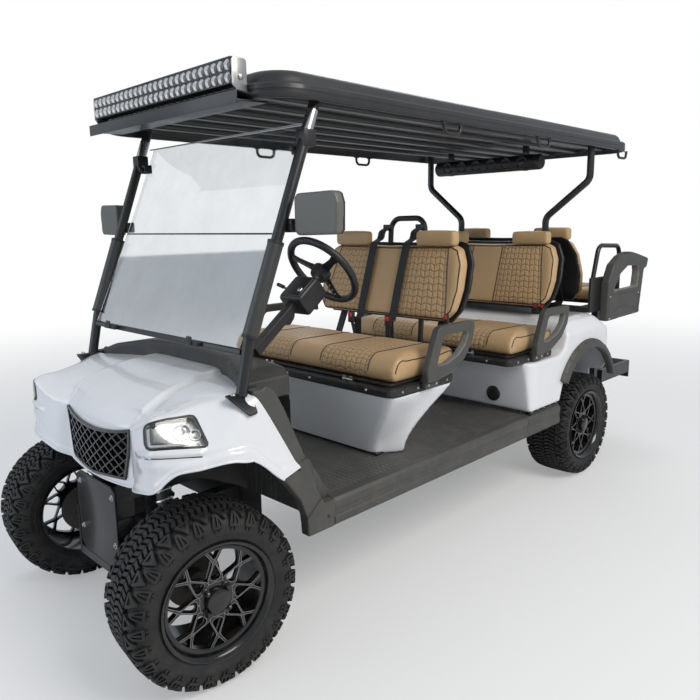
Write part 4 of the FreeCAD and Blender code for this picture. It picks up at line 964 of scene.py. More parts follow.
def band(name: str, axis: Axis, outline: Sequence[Point2], width: float, low: float, high: float,
         shift: bool = True) -> Object:
    """Closed frame between an outline and the same outline moved inwards.

    Args:
        name: Name of the object.
        axis: As for a prism.
        outline: Outer corners in order.
        width: Width of the frame.
        low: Start along the axis.
        high: End along the axis.
        shift: False where the outline is about a part's own origin.

    Returns:
        The new object.
    """
    inner = inset(outline, width)
    count = len(outline)
    points = [spot(turned(axis, *p, w), shift) for w in (low, high) for ring in (outline, inner) for p in ring]
    faces = []
    for i in range(count):
        j = (i + 1) % count
        faces.append((i, j, count + j, count + i))
        faces.append((2 * count + i, 3 * count + i, 3 * count + j, 2 * count + j))
        faces.append((i, 2 * count + i, 2 * count + j, j))
        faces.append((count + i, count + j, 3 * count + j, 3 * count + i))
    return outward(make(name, points, faces))


def rings(name: str, levels: Sequence[Sequence[Vector]]) -> Object:
    """Closed form through rings of equally many points, capped at both ends."""
    count = len(levels[0])
    points = [p for level in levels for p in level]
    faces: list[tuple[int, ...]] = [tuple(range(count)),
                                    tuple(range((len(levels) - 1) * count, len(levels) * count))]
    for k in range(len(levels) - 1):
        for i in range(count):
            j = (i + 1) % count
            faces.append((k * count + i, k * count + j, (k + 1) * count + j, (k + 1) * count + i))
    return outward(make(name, points, faces))


def rounded(x: float, y0: float, y1: float, radius: float, steps: int = 8) -> list[Point2]:
    """Rectangle between -x and x with rounded corners, in plan.

    Args:
        x: Half width.
        y0: First station.
        y1: Last station.
        radius: Radius of the corners.
        steps: Steps round a corner.

    Returns:
        Its corners in order.
    """
    corners = ((x - radius, y0 + radius, -90), (x - radius, y1 - radius, 0), (-x + radius, y1 - radius, 90),
               (-x + radius, y0 + radius, 180))
    out: list[Point2] = []
    for cx, cy, start in corners:
        for k in range(steps + 1):
            angle = math.radians(start + 90.0 * k / steps)
            out.append((cx + radius * math.cos(angle), cy + radius * math.sin(angle)))
    return out


def skinned(obj: Object, cutters: Sequence[Object], wall: float) -> Object:
    """Cut a closed form open and give what is left of its skin a wall.

    Args:
        obj: Closed form.
        cutters: Closed forms that take away what is open; they are used up.
        wall: Wall inwards in millimetres.

    Returns:
        The same object.
    """
    marker = bpy.data.materials.get("cut face") or bpy.data.materials.new("cut face")
    own = PAINT.material()
    coloured(obj, PAINT)
    for cutter in cutters:
        cutter.data.materials.clear()
        cutter.data.materials.append(marker)
        cut = obj.modifiers.new("cut", "BOOLEAN")
        cut.operation = "DIFFERENCE"
        cut.object = cutter
        cut.solver = "EXACT"
        cut.material_mode = "TRANSFER"
        settle(obj)
    remove(*cutters)
    names = [m.name if m else "" for m in obj.data.materials]
    gone = {i for i, name in enumerate(names) if name == marker.name}
    work = bmesh.new()
    work.from_mesh(obj.data)
    bmesh.ops.delete(work, geom=[f for f in work.faces if f.material_index in gone], context="FACES")
    for face in work.faces:
        face.material_index = 0
    bmesh.ops.remove_doubles(work, verts=work.verts, dist=0.0004)
    work.to_mesh(obj.data)
    work.free()
    obj.data.materials.clear()
    obj.data.materials.append(own)
    if wall:
        walled(obj, wall)
    return obj


def rim_edges(obj: Object, name: str, keep: Callable[[Vector], bool], radius: float,
              finish: Finish) -> Object:
    """Round bead along an open skin's border.

    Args:
        obj: Open skin.
        name: Name of the bead.
        keep: Test of a border point in millimetres by station.
        radius: Radius of the bead.
        finish: Its finish.

    Returns:
        The bead.
    """
    work = bmesh.new()
    work.from_mesh(obj.data)
    picked = [e for e in work.edges if e.is_boundary and all(keep(station(v.co)) for v in e.verts)]
    numbers: dict[int, int] = {}
    points: list[Vector] = []
    edges: list[tuple[int, int]] = []
    for edge in picked:
        ends = []
        for vert in edge.verts:
            if vert.index not in numbers:
                numbers[vert.index] = len(points)
                points.append(vert.co.copy())
            ends.append(numbers[vert.index])
        edges.append((ends[0], ends[1]))
    work.free()
    bead = make(name, points, [], edges)
    return outward(run_tree(bead, RepeatKit.path(), {"Radius": radius / MM, "Bend": 0.0, "Sides": 10,
                                                     "Finish": finish.material()}))


def displaced(obj: Object, move: Callable[[Vector, Vector], Vector]) -> Object:
    """Move each point by a function of its place and normal.

    Args:
        obj: Object to move.
        move: Move in millimetres, from the place by station and the normal.

    Returns:
        The same object.
    """
    moves = [move(station(vert.co), vert.normal.copy()) for vert in obj.data.vertices]
    for vert, shift in zip(obj.data.vertices, moves):
        vert.co += shift / MM
    obj.data.update()
    return obj


def ease(value: float) -> float:
    """Smooth step from 0 to 1."""
    t = min(1.0, max(0.0, value))
    return t * t * (3.0 - 2.0 * t)


def follow(table: Sequence[Point2], where: float) -> float:
    """Value of a table of (place, value) rows at a place between them."""
    return float(np.interp(where, [row[0] for row in table], [row[1] for row in table]))


def dense(outline: Sequence[Point2], step: float) -> list[Point2]:
    """Closed outline with extra points, none further apart than a step."""
    out: list[Point2] = []
    for (ax, ay), (bx, by) in zip(outline, [*outline[1:], outline[0]]):
        count = max(1, math.ceil(math.hypot(bx - ax, by - ay) / step))
        out += [(ax + (bx - ax) * k / count, ay + (by - ay) * k / count) for k in range(count)]
    return out


# Studio

@dataclass(frozen=True)
class Studio:
    """Camera, light and ground of the catalogue view."""

    camera_at: Point3 = (2.2238, -2.64025, 1.4372)
    yaw: float = -44.62
    pitch: float = 10.66
    roll: float = -0.84
    lens: float = 34.18
    sensor: float = 36.0
    ground: float = 30.0
    fade: Point2 = (2.2, 8.5)
    fade_start: float = 0.30
    sky: Point3 = (0.86, 0.92, 1.0)
    sky_strength: float = 0.53

    def build(self) -> None:
        """Put up the camera, the floor, the lights and the backdrop."""
        self.camera()
        self.floor()
        self.lights()
        self.backdrop()
        scene = bpy.context.scene
        scene.view_settings.view_transform = "Standard"

    def camera(self) -> None:
        """Camera that looks down at the cart's left front corner."""
        yaw, pitch, roll = (math.radians(a) for a in (self.yaw, self.pitch, self.roll))
        ahead = Vector((math.sin(yaw) * math.cos(pitch), math.cos(yaw) * math.cos(pitch), -math.sin(pitch)))
        right = Vector((math.cos(yaw), -math.sin(yaw), 0.0))
        up = right.cross(ahead)
        level = right * math.cos(roll) + up * math.sin(roll)
        upright = -right * math.sin(roll) + up * math.cos(roll)
        turn = Matrix((level, upright, -ahead)).transposed()
        camera = bpy.data.objects.new("catalogue camera", bpy.data.cameras.new("catalogue camera"))
        camera.data.lens = self.lens
        camera.data.sensor_width = self.sensor
        camera.matrix_world = Matrix.Translation(self.camera_at) @ turn.to_4x4()
        bpy.context.scene.collection.objects.link(camera)
        bpy.context.scene.camera = camera

    def floor(self) -> None:
        """Pale ground with a soft sheen."""
        size = self.ground
        floor = make("studio floor", [(-size, -size, 0), (size, -size, 0), (size, size, 0), (-size, size, 0)],
                     [(0, 1, 2, 3)])
        coloured(floor, Finish("studio floor", (0.80, 0.80, 0.80), 0.7, grain=0.0, mottle=0.02))
        self.fading(floor.data.materials[0].node_tree)

    def fading(self, tree: NodeTree) -> None:
        """Let the ground run into the white backdrop for the camera, away from the cart's shadow."""
        shader, end = tree.nodes["Principled BSDF"], tree.nodes["Material Output"]
        place = put(tree, "ShaderNodeTexCoord").outputs["Object"]
        reach = put(tree, "ShaderNodeVectorMath", {0: place}, operation="LENGTH")
        far = put(tree, "ShaderNodeMapRange", {"Value": reach.outputs["Value"], "From Min": self.fade[0],
                                               "From Max": self.fade[1], "To Min": self.fade_start,
                                               "To Max": 1.0}, interpolation_type="SMOOTHSTEP")
        seen = put(tree, "ShaderNodeLightPath").outputs["Is Camera Ray"]
        share = maths(tree, "MULTIPLY", seen, far.outputs[0])
        white = put(tree, "ShaderNodeEmission", {"Color": (1.0, 1.0, 1.0, 1.0), "Strength": 1.0})
        mix = put(tree, "ShaderNodeMixShader", {0: share, 1: shader.outputs[0], 2: white.outputs[0]})
        tree.links.new(mix.outputs[0], end.inputs["Surface"])

    def lights(self) -> None:
        """Large soft key light from the cart's left, a cooler fill from the front and one from behind."""
        rows = (  # name, place, size, power, colour
            ("key light", (4.2, -0.6, 4.4), 2.6, 185.0, (1.0, 0.955, 0.90)),
            ("front fill", (-1.8, -5.2, 2.4), 3.6, 58.0, (0.80, 0.88, 1.0)),
            ("back light", (-3.0, 4.2, 4.2), 3.0, 70.0, (1.0, 0.99, 0.97)),
        )
        for name, place, size, power, colour in rows:
            data = bpy.data.lights.new(name, "AREA")
            data.energy = power
            data.size = size
            data.color = colour
            lamp = bpy.data.objects.new(name, data)
            aim = Vector((0.0, 0.0, 0.8)) - Vector(place)
            lamp.matrix_world = Matrix.Translation(place) @ aim.to_track_quat("-Z", "Y").to_matrix().to_4x4()
            bpy.context.scene.collection.objects.link(lamp)

    def backdrop(self) -> None:
        """White behind the cart, soft grey light everywhere else."""
        world = bpy.data.worlds.new("studio")
        bpy.context.scene.world = world
        world.use_nodes = True
        tree = world.node_tree
        soft = tree.nodes["Background"]
        feed(tree, soft, {"Color": (*self.sky, 1.0), "Strength": self.sky_strength})
        white = put(tree, "ShaderNodeBackground", {"Color": (1.0, 1.0, 1.0, 1.0), "Strength": 1.0})
        rays = put(tree, "ShaderNodeLightPath")
        seen = maths(tree, "MAXIMUM", rays.outputs["Is Camera Ray"], rays.outputs["Is Transmission Ray"])
        mix = put(tree, "ShaderNodeMixShader", {0: seen, 1: soft.outputs[0], 2: white.outputs[0]})
        tree.links.new(mix.outputs[0], tree.nodes["World Output"].inputs["Surface"])


# Wheels

@dataclass(frozen=True)
class Lug:
    """Tread lug as rows of (run across the tread, start, end round it), with its pockets as (run, place round)."""

    rows: tuple[tuple[float, float, float], ...]
    pockets: tuple[tuple[Point2, ...], ...] = ()


@dataclass
class Wheel:
    """Tyre with its lugs and the alloy rim, built about the X axis on the cart's left."""

    half_track: float = 497.0
    axle_height: float = 292.0
    kingpin: float = 380.0
    steer: float = -6.9
    sectors: int = 28
    tip_radius: float = 292.0
    lug_depth: float = 15.0
    lug_flank: float = 2.2
    spokes: int = 8
    face_low: float = 64.0
    face_high: float = 86.0
    outer_run: tuple[Point2, ...] = ((0, 291.7), (63, 291.5), (90, 289), (103, 285.5), (113, 279), (120, 268),
                                     (123.5, 255), (124.5, 238), (122, 222))
    carcass: tuple[Point2, ...] = ((98, 181), (105, 190), (108, 199), (111.5, 203), (111.5, 206), (114, 210),
                                   (117, 222), (119, 226), (118.5, 230), (119.5, 238), (117, 254), (108, 266),
                                   (92, 274), (60, 277.5), (0, 279))
    lugs: tuple[Lug, ...] = (
        Lug(((96.0, -4.0, 4.0), (112.0, -11.0, 11.0), (130.0, -17.0, 17.0), (143.0, -20.0, 20.0), (150.0, -16.0, 16.0)),
            (((109.0, -3.5), (109.0, 1.0), (141.0, -3.0), (141.0, -12.0), (136.0, -13.5)),
             ((113.0, 5.5), (134.0, 13.0), (141.0, 12.0), (141.0, 2.0)))),
        Lug(((153.0, -13.0, -4.0), (163.0, -11.0, -4.0))),
        Lug(((153.0, 4.0, 13.0), (163.0, 4.0, 11.0))),
        Lug(((69.0, 10.0, 55.5), (78.0, 9.5, 56.0), (108.0, 25.0, 40.5), (120.0, 30.0, 35.5)),
            (((77.5, 19.5), (77.5, 46.0), (102.0, 32.75)),)),
        *(Lug(((3.0, k * 21.8 - 32.7, k * 21.8 - 19.7), (30.0, k * 21.8 - 24.7, k * 21.8 - 11.7))) for k in range(3)),
        *(Lug(((34.0, k * 21.8 - 26.0, k * 21.8 - 13.5), (62.0, k * 21.8 - 36.5, k * 21.8 - 24.0))) for k in range(3)),
    )

    def place(self, y: float, side: int, steered: bool) -> Matrix:
        """Move from the wheel's own axis to its place on the cart, in metres."""
        move = Matrix.Translation(Vector((self.half_track, y, self.axle_height)) / MM)
        if side < 0:
            move = Matrix.Scale(-1.0, 4, Vector((1, 0, 0))) @ move
        if steered:
            move = pivot(Vector((side * self.kingpin / MM, 0.0, 0.0)), self.steer, Axis.Z) @ move
        return Matrix.Translation(Vector((0.0, SHIFT / MM, 0.0))) @ move

    def surface(self, run: float) -> tuple[Point2, Point2]:
        """Point (across, radius) and outward normal of the tread's outer run at a length along it."""
        done = 0.0
        for (a0, r0), (a1, r1) in zip(self.outer_run, self.outer_run[1:]):
            length = math.hypot(a1 - a0, r1 - r0)
            if done + length >= run or (a1, r1) == self.outer_run[-1]:
                t = (run - done) / length
                return (a0 + (a1 - a0) * t, r0 + (r1 - r0) * t), ((r0 - r1) / length, (a1 - a0) / length)
            done += length
        return self.outer_run[-1], (1.0, 0.0)

    def on_tread(self, run: float, around: float, side: int, lift: float) -> Vector:
        """Point over the tread's surface, in metres.

        Args:
            run: Length across the tread from its centre.
            around: Place round the tyre, in millimetres at the tips.
            side: 1 for the outer half of the tread, -1 for the inner half.
            lift: Height over the surface.
        """
        (across, radius), (nx, nr) = self.surface(run)
        angle = around / self.tip_radius
        reach = radius + nr * lift
        return Vector((side * (across + nx * lift), reach * math.sin(angle), reach * math.cos(angle))) / MM

    def lug(self, lug: Lug, side: int, offset: float) -> Object:
        """One tread lug with its pockets, its foot sunk in the carcass, turned round the tyre by an offset."""
        rows = lug.rows
        steps = max(2, int((rows[-1][0] - rows[0][0]) / 9.0) + 1)
        levels = []
        for k in range(steps + 1):
            run = rows[0][0] + (rows[-1][0] - rows[0][0]) * k / steps
            start = float(np.interp(run, [r[0] for r in rows], [r[1] for r in rows])) + offset
            stop = float(np.interp(run, [r[0] for r in rows], [r[2] for r in rows])) + offset
            foot, flank = self.lug_depth, self.lug_flank
            levels.append([self.on_tread(run, start, side, 0.0), self.on_tread(run, stop, side, 0.0),
                           self.on_tread(run, stop + flank, side, -foot),
                           self.on_tread(run, start - flank, side, -foot)])
        obj = rings("lug", levels)
        pockets = [rings("pocket", [[self.on_tread(run, around + offset, side, lift) for run, around in pocket]
                                    for lift in (4.0, -6.0)]) for pocket in lug.pockets]
        return carved(obj, pockets)

    def tyre(self) -> Object:
        """Carcass and all lugs."""
        half = list(self.carcass)
        body = coloured(lathe("carcass", half + [(-a, r) for a, r in reversed(half[:-1])], 112), TYRE)
        pitch = 2 * math.pi * self.tip_radius / self.sectors
        pieces = [self.lug(lug, side, shift) for side, shift in ((1, 0.0), (-1, pitch / 2)) for lug in self.lugs]
        sector = bevelled(joined("lugs", pieces), 1.1, 1, 40.0)
        blocks = ring_of("tread", sector, self.sectors, TYRE)
        return joined("tyre", [body, blocks])

    def spoke_outlines(self) -> list[list[Point2]]:
        """Outlines of one spoke: the sides of its loop and the two arms of its fork."""
        loop = [(0, 56), (-20, 54), (-27, 60), (-26, 74), (-10, 113), (-7.5, 124), (0, 131), (0, 118), (-3.5, 112),
                (-17, 80), (-17.5, 73), (-12, 67), (0, 65)]
        fork = [(0, 117), (6, 119), (14, 134), (41, 174), (31, 178), (21, 161), (5, 138), (0, 135)]
        outlines: list[list[Point2]] = [loop, fork]
        return outlines + [[(-u, v) for u, v in reversed(o)] for o in outlines]

    def bar(self, outline: Sequence[Point2], low: float, high: float) -> Object:
        """Bar of the wheel's face between two places across it."""
        return rings("bar", [[Vector((w, u, v)) / MM for u, v in outline] for w in (low, high)])

    def rim(self) -> Object:
        """Barrel, spokes with machined edges, hub, cap and nuts."""
        barrel = lathe("barrel", [(-107, 173.7), (92, 173.7), (100, 176), (110, 183), (113.5, 187), (115, 191),
                                  (114.5, 193.6), (112.5, 194), (110.8, 192.4), (104, 184.5), (98.6, 180.7),
                                  (-107, 180.7)], 96)
        flange = lathe("flange", [(60, 160), (60, 175), (90, 175), (90, 168), (86, 161)], 96)
        hub = lathe("hub", [(58, 0), (58, 66), (80, 66), (86, 62), (87, 44), (83, 40), (83, 0)], 64)
        parts = [coloured(p, RIM_BLACK) for p in (barrel, flange, hub)]
        solid = joined("spoke", [self.bar(o, self.face_low, self.face_high) for o in self.spoke_outlines()])
        parts.append(ring_of("spokes", bevelled(solid, 1.2, 2), self.spokes, RIM_BLACK))
        strips = joined("strip", [band("edge", Axis.X, inset(o, 0.9), 1.1, self.face_high - 1.0,
                                       self.face_high + 0.5, shift=False) for o in self.spoke_outlines()])
        parts.append(ring_of("strips", strips, self.spokes, RIM_EDGE))
        lip = lathe("lip edge", [(112.2, 193.0), (115.3, 191.0), (114.0, 187.2), (110.2, 182.6), (109, 183.4)], 96)
        parts.append(coloured(lip, RIM_BLACK))
        cap = lathe("cap", [(80, 0), (80, 41.5), (98, 40.5), (105, 38), (109, 31), (110, 0)], 48)
        parts.append(coloured(cap, RIM_BLACK))
        nut = joined("nut", [lathe("nut body", [(82, 0), (82, 10), (101, 10), (107, 8), (110, 4), (110.5, 0)], 6),
                             lathe("nut seat", [(82, 0), (82, 13), (88, 12.5), (90, 10), (90, 0)], 20)])
        nut.data.transform(Matrix.Translation(Vector((0.0, 0.0353, 0.0353))))
        parts.append(ring_of("nuts", nut, 4, BLACK_COAT))
        return joined("rim", parts)

    def build(self) -> None:
        """Set out the four wheels."""
        tyre = self.tyre()
        rim = self.rim()
        stations = (("front", 0.0, True), ("rear", WHEELBASE, False))
        for where, y, steered in stations:
            for name, side in (("left", 1), ("right", -1)):
                move = self.place(y, side, steered)
                body = f"{where}_wheel_{name}"
                dressed(placed_copy(tyre, move, f"{where} tread {name}"), TYRE, body, [f"{where}_tyre_{name}"],
                        40.0)
                dressed(placed_copy(rim, move, f"{where} alloy {name}"), RIM_BLACK, body, [f"{where}_rim_{name}"],
                        32.0)
        remove(tyre, rim)


# Front end

@dataclass
class Cowl:
    """Bonnet and wings, grille, lamps and the bumper plate."""

    sections: tuple[tuple[float, tuple[Point2, ...]], ...] = (
        (-230.0, ((0, 700), (240, 735), (430, 790), (480, 745), (560, 640), (585, 600))),
        (-150.0, ((0, 768), (240, 781), (430, 848), (482, 808), (562, 705), (590, 640))),
        (0.0, ((0, 866), (240, 870), (430, 892), (492, 858), (576, 755), (606, 680))),
        (165.0, ((0, 908), (240, 913), (430, 917), (548, 912), (584, 868), (612, 690))),
        (330.0, ((0, 918), (240, 921), (430, 917), (548, 900), (590, 840), (620, 660))),
    )
    plan: tuple[Point2, ...] = ((0, -121), (235, -126), (430, -148), (488, -122), (545, -40), (588, 45), (612, 140),
                                (622, 330), (0, 330))
    lip_front: tuple[Point2, ...] = ((0, 583), (126, 584), (231, 588), (300, 603), (381, 624), (447, 641), (475, 657),
                                     (493, 680), (509, 698), (523, 709), (540, 714), (558, 717), (574, 722), (590, 727),
                                     (603, 727), (612, 721), (619, 717.4), (640, 717.4))
    lip_side: tuple[Point2, ...] = ((118, 717.4), (128, 711), (142, 701), (162, 684), (189, 657), (212, 636),
                                    (228, 624))
    tip_rear: Point2 = (298.0, 647.0)
    slot: tuple[Point2, ...] = ((-12, 742), (-2, 750), (18, 756.5), (66, 757), (120, 756), (161, 754), (161, 750.5),
                                (120, 752), (66, 753), (18, 752), (0, 745))
    slot_line: tuple[Point2, ...] = ((-30, 732), (-10, 744), (18, 755), (66, 755), (120, 754), (161, 752))
    bottom: float = 450.0
    wall: float = 8.0
    grille: tuple[Point2, ...] = ((0, 760), (40, 761), (80, 763.5), (120, 767.5), (160, 773), (200, 780.5), (232, 788),
                                  (238, 787), (240, 780), (228, 700), (200, 608), (0, 590))
    lamp_at: Point2 = (430.0, -144.0)
    lamp_along: Point2 = (75.0, 142.0)
    lamp: tuple[Point2, ...] = ((12, -22), (4, -15), (0, -2), (0, 34), (3, 42), (11, 47), (65, 57), (134, 64),
                                (143, 62), (149, 54), (175, -24), (174, -30), (167, -33), (98, -29), (22, -24))
    lamp_height: float = 800.0
    lamp_lean: float = 24.0
    # Place across of the black wheel-well sheets, which also paint the shade in the wells.
    liner: float = 292.0
    lamp_border: float = 7.0
    recess_depth: float = 26.0
    recess_half: float = 232.0
    recess_fall: float = 46.0
    bonnet_rise: float = 15.0
    brow_rise: float = 15.0
    brow_at: Point2 = (438.0, -118.0)
    brow_size: Point2 = (46.0, 52.0)
    lip_roll: float = 4.0
    lip_roll_wide: float = 9.0
    ledge_over: float = 7.5
    ledge_under: float = 5.0
    skin_back: float = 3.0
    mesh_pitch: float = 54.0
    mesh_run: Point2 = (25.0, 17.0)
    bar_half: float = 2.5
    bar_depth: float = 17.0
    ridge: tuple[Point2, ...] = ((-130, 238), (-97, 252), (-53, 262), (31, 252), (108, 246), (213, 240), (330, 238))
    rear_edge: tuple[Point2, ...] = ((0, 287), (160, 281), (300, 250), (400, 210), (470, 172), (470, 420), (0, 420))

    def block(self) -> Object:
        """Closed, evenly meshed form of the cowl."""
        rows = [[(*p, y) for p in half] + [(half[-1][0] + 4, self.bottom, y)] for y, half in self.sections]
        columns = [flowing([row[i] for row in rows], 5) for i in range(len(rows[0]))]
        levels = []
        for k in range(len(columns[0])):
            half = flowing([columns[i][k] for i in range(len(columns) - 1)], 4) + [columns[-1][k]]
            ring = [at(x, y, z) for x, z, y in half]
            levels.append(ring + [Vector((-p.x, p.y, p.z)) for p in reversed(ring) if p.x > 1e-9])
        loft = rings("cowl form", levels)
        front = flowing(self.plan[:-1], 5)
        plan = prism("cowl plan", Axis.Z, both([(x, y) for x, y in front] + [self.plan[-1]]), self.bottom - 5, 1100)
        return moulded(carved(loft, [plan], "INTERSECT"), 6.0, 9)

    def over_lip(self, p: Vector) -> float:
        """Distance of a point above the wing's lower edge."""
        if p.y < 118:
            return (p.z - follow(self.lip_front, abs(p.x))) * 0.9
        return (p.z - follow(self.lip_side, p.y)) * 0.72

    def shaped(self, block: Object) -> Object:
        """Raise the bonnet's centre, the brow over each lamp, the rolled lip and the ledge over each slot."""
        along = self.corner()[0]

        def move(p: Vector, n: Vector) -> Vector:
            """Move of a point of the cowl, in millimetres."""
            edge = follow(self.ridge, p.y)
            inside = ease((edge + 11 - abs(p.x)) / 22)
            rise = self.bonnet_rise * inside * ease((n.z + 0.1) * 2.0) * ease((p.y + 132) / 40)
            off_x = (abs(p.x) - self.brow_at[0]) / self.brow_size[0]
            off_y = (p.y - self.brow_at[1]) / self.brow_size[1]
            rise += self.brow_rise * math.exp(-off_x ** 2 - off_y ** 2) * ease(n.z * 1.6)
            wide = ease((abs(p.x) - 430) / 120)
            roll = (self.lip_roll + self.lip_roll_wide * wide) * (1.0 - ease((self.over_lip(p) - 13 - 8 * wide) / 12))
            run = (Vector((abs(p.x), p.y, 0.0)) - Vector((*self.lamp_at, 0.0))).dot(along)
            crease = follow(self.slot_line, run)
            reach = ease((run + 40) / 20) * ease((178 - run) / 24)
            ledge = reach * (self.ledge_over * math.exp(-((p.z - crease - 13) / 8) ** 2)
                             + self.ledge_under * math.exp(-((p.z - crease + 26) / 18) ** 2)) if p.y < 60 else 0.0
            back = self.recess(p.x) * ease((-n.y - 0.15) * 2.2) * ease((-50 - p.y) / 40)
            return Vector((0.0, back, rise)) + n * (roll + ledge - self.skin_back)
        return displaced(block, move)

    def recess(self, x: float) -> float:
        """How far the nose stands back at a place across: nothing at the centre, most at the grille's sides."""
        size, half = abs(x), self.recess_half
        if size < half:
            return self.recess_depth * (size / half) ** 2
        return self.recess_depth * math.exp(-((size - half) / self.recess_fall) ** 2)

    def corner(self, lean: float = 0.0) -> tuple[Vector, Vector, Vector]:
        """Directions along, up and out of the left corner's plane, leaned back by an angle in degrees."""
        along = Vector((*self.lamp_along, 0.0)).normalized()
        out, up = along.cross(Vector((0, 0, 1))), Vector((0, 0, 1))
        cosine, sine = math.cos(math.radians(lean)), math.sin(math.radians(lean))
        return along, up * cosine - out * sine, out * cosine + up * sine

    def lamp_spot(self, s: float, u: float, d: float) -> Vector:
        """Place of (along, up, out) on the left lamp's plane, in metres."""
        along, up, out = self.corner(self.lamp_lean)
        return at(*(Vector((*self.lamp_at, self.lamp_height)) + along * s + up * u + out * d))

    def cutters(self) -> list[Object]:
        """What is open below and behind the cowl."""
        below = [*flowing(self.lip_front, 4), (640, 440), (0, 440)]
        side = [(163, 922), self.tip_rear, (420, 647), (420, 1010), (163, 1010)]
        tip = self.lip_side[-1]
        return [
            prism("below", Axis.Y, both(below), -300, 118),
            prism("arch", Axis.X, [(118, 440), *flowing(self.lip_side, 4), (tip[0], 440)], -660, 660),
            prism("behind low", Axis.X, [(tip[0], 430), tip, self.tip_rear, (420, 647), (420, 430)], -661, 661),
            prism("behind left", Axis.X, side, 470, 662),
            prism("behind right", Axis.X, side, -662, -470),
            prism("behind", Axis.Z, both(self.rear_edge), 640, 1020),
        ]

    def drawn(self, shape: Sequence[Point2]) -> Object:
        """Outline of (run, height) on the left corner's plane, drawn through the cowl."""
        along, up, out = self.corner()
        start = Vector((*self.lamp_at, 0.0))
        return rings("corner form", [[at(*(start + along * s + up * z + out * d)) for s, z in shape]
                                     for d in (-120, 120)])

    def grille_form(self, grow: float, low: float, high: float) -> Object:
        """Outline of the grille's opening, grown, drawn along the cart."""
        return prism("grille form", Axis.Y, inset(both(self.grille), -grow), low, high)

    def build(self) -> None:
        """Skin, lamps, grille and bumper plate."""
        block = self.shaped(self.block())
        self.lamps(block)
        hole = inset(self.lamp, -self.lamp_border)
        lamp = rings("lamp form", [[self.lamp_spot(s, u, d) for s, u in hole] for d in (-60, 120)])
        slot = self.drawn(self.slot)
        cutters = self.cutters() + [lamp, mirrored(lamp), slot, mirrored(slot), self.grille_form(1.0, -200, 60)]
        skin = skinned(block, cutters, 0.0)
        lip = rim_edges(skin, "wing lips", lambda p: self.over_lip(p) < 6 and p.y < 229, 4.5, PAINT)
        walled(skin, self.wall)
        # Black sheets inside both wheel wells, at the place of an inner liner; they also paint the shade in the wells
        # and hide the floor seen through them.
        inner = [prism("liner", Axis.X, [(-70, 640), (-40, 585), (120, 575), (200, 540), (318, 480),
                                        (318, 740), (60, 770), (-50, 740)], *xs)
                 for xs in ((self.liner, self.liner + 4), (-self.liner - 4, -self.liner))]
        dressed(joined("bonnet and wings", [skin, lip, *[coloured(i, BLACK_PLASTIC) for i in inner]]), PAINT,
                stands_for=["front_cowl"], angle=50.0)
        self.mesh_grille()
        self.bumper()

    def lamps(self, block: Object) -> None:
        """Clear lenses, dark surrounds, bowls and light strips, from the cowl's own surface."""
        tree = surface_of(block)

        def grown(by: float) -> list[Point2]:
            """Outline of the lamp, moved outwards."""
            return inset(self.lamp, -by)

        lens = walled(self.draped(tree, [grown(-0.6)], True), 3.0)
        ring = walled(self.draped(tree, [grown(g) for g in (self.lamp_border - 0.6, 4.5, 2.0, -0.4)], False), 26.0)
        back = walled(self.draped(tree, [grown(2.0)], True), 3.0)
        along, up, out = self.corner(self.lamp_lean)
        back.data.transform(Matrix.Translation(out * -0.030))
        lens.name = "headlamp glass"
        dressed(pair(coloured(lens, LENS)), LENS, stands_for=["headlamp_lenses"])
        dressed(pair(joined("headlamp surrounds", [coloured(ring, BLACK_PLASTIC), coloured(back, STEEL)])),
                BLACK_PLASTIC, stands_for=["headlamp_bezels"])
        bowls = []
        frame = Matrix((out, along, up)).transposed().to_4x4()
        for s, u, depth, radius in ((48, 16, -2, 24), (106, 18, 3, 25), (146, 6, 0, 15)):
            bowl = lathe("bowl", [(-16, 0), (-14, radius * 0.5), (-6, radius * 0.85), (5, radius), (5, radius + 2),
                                  (-9, radius + 1), (-20, radius * 0.6), (-22, 0)], 36)
            ball = lathe("projector", [(-12, 0), (-12, 8), (-4, 11), (2, 9), (5, 5), (6, 0)], 24)
            for piece, finish in ((bowl, CHROME), (ball, LENS)):
                piece.data.transform(Matrix.Translation(self.lamp_spot(s, u, depth)) @ frame)
                bowls.append(coloured(piece, finish))
        dressed(pair(joined("headlamp bowls", bowls)), CHROME)
        spots = []
        for s, u in flowing([(9, 36), (9, 4), (11, -12), (24, -17), (60, -20), (110, -23), (158, -26)], 5):
            hit, _, _, _ = tree.ray_cast(self.lamp_spot(s, u, CAST_FROM), -out, CAST_REACH)
            if hit:
                spots.append(tuple(station(hit - out * 0.010)))
        strip = tube("daytime strips", spots, 4.2, DIFFUSER, bend=0, sides=10)
        dressed(pair(strip), DIFFUSER)

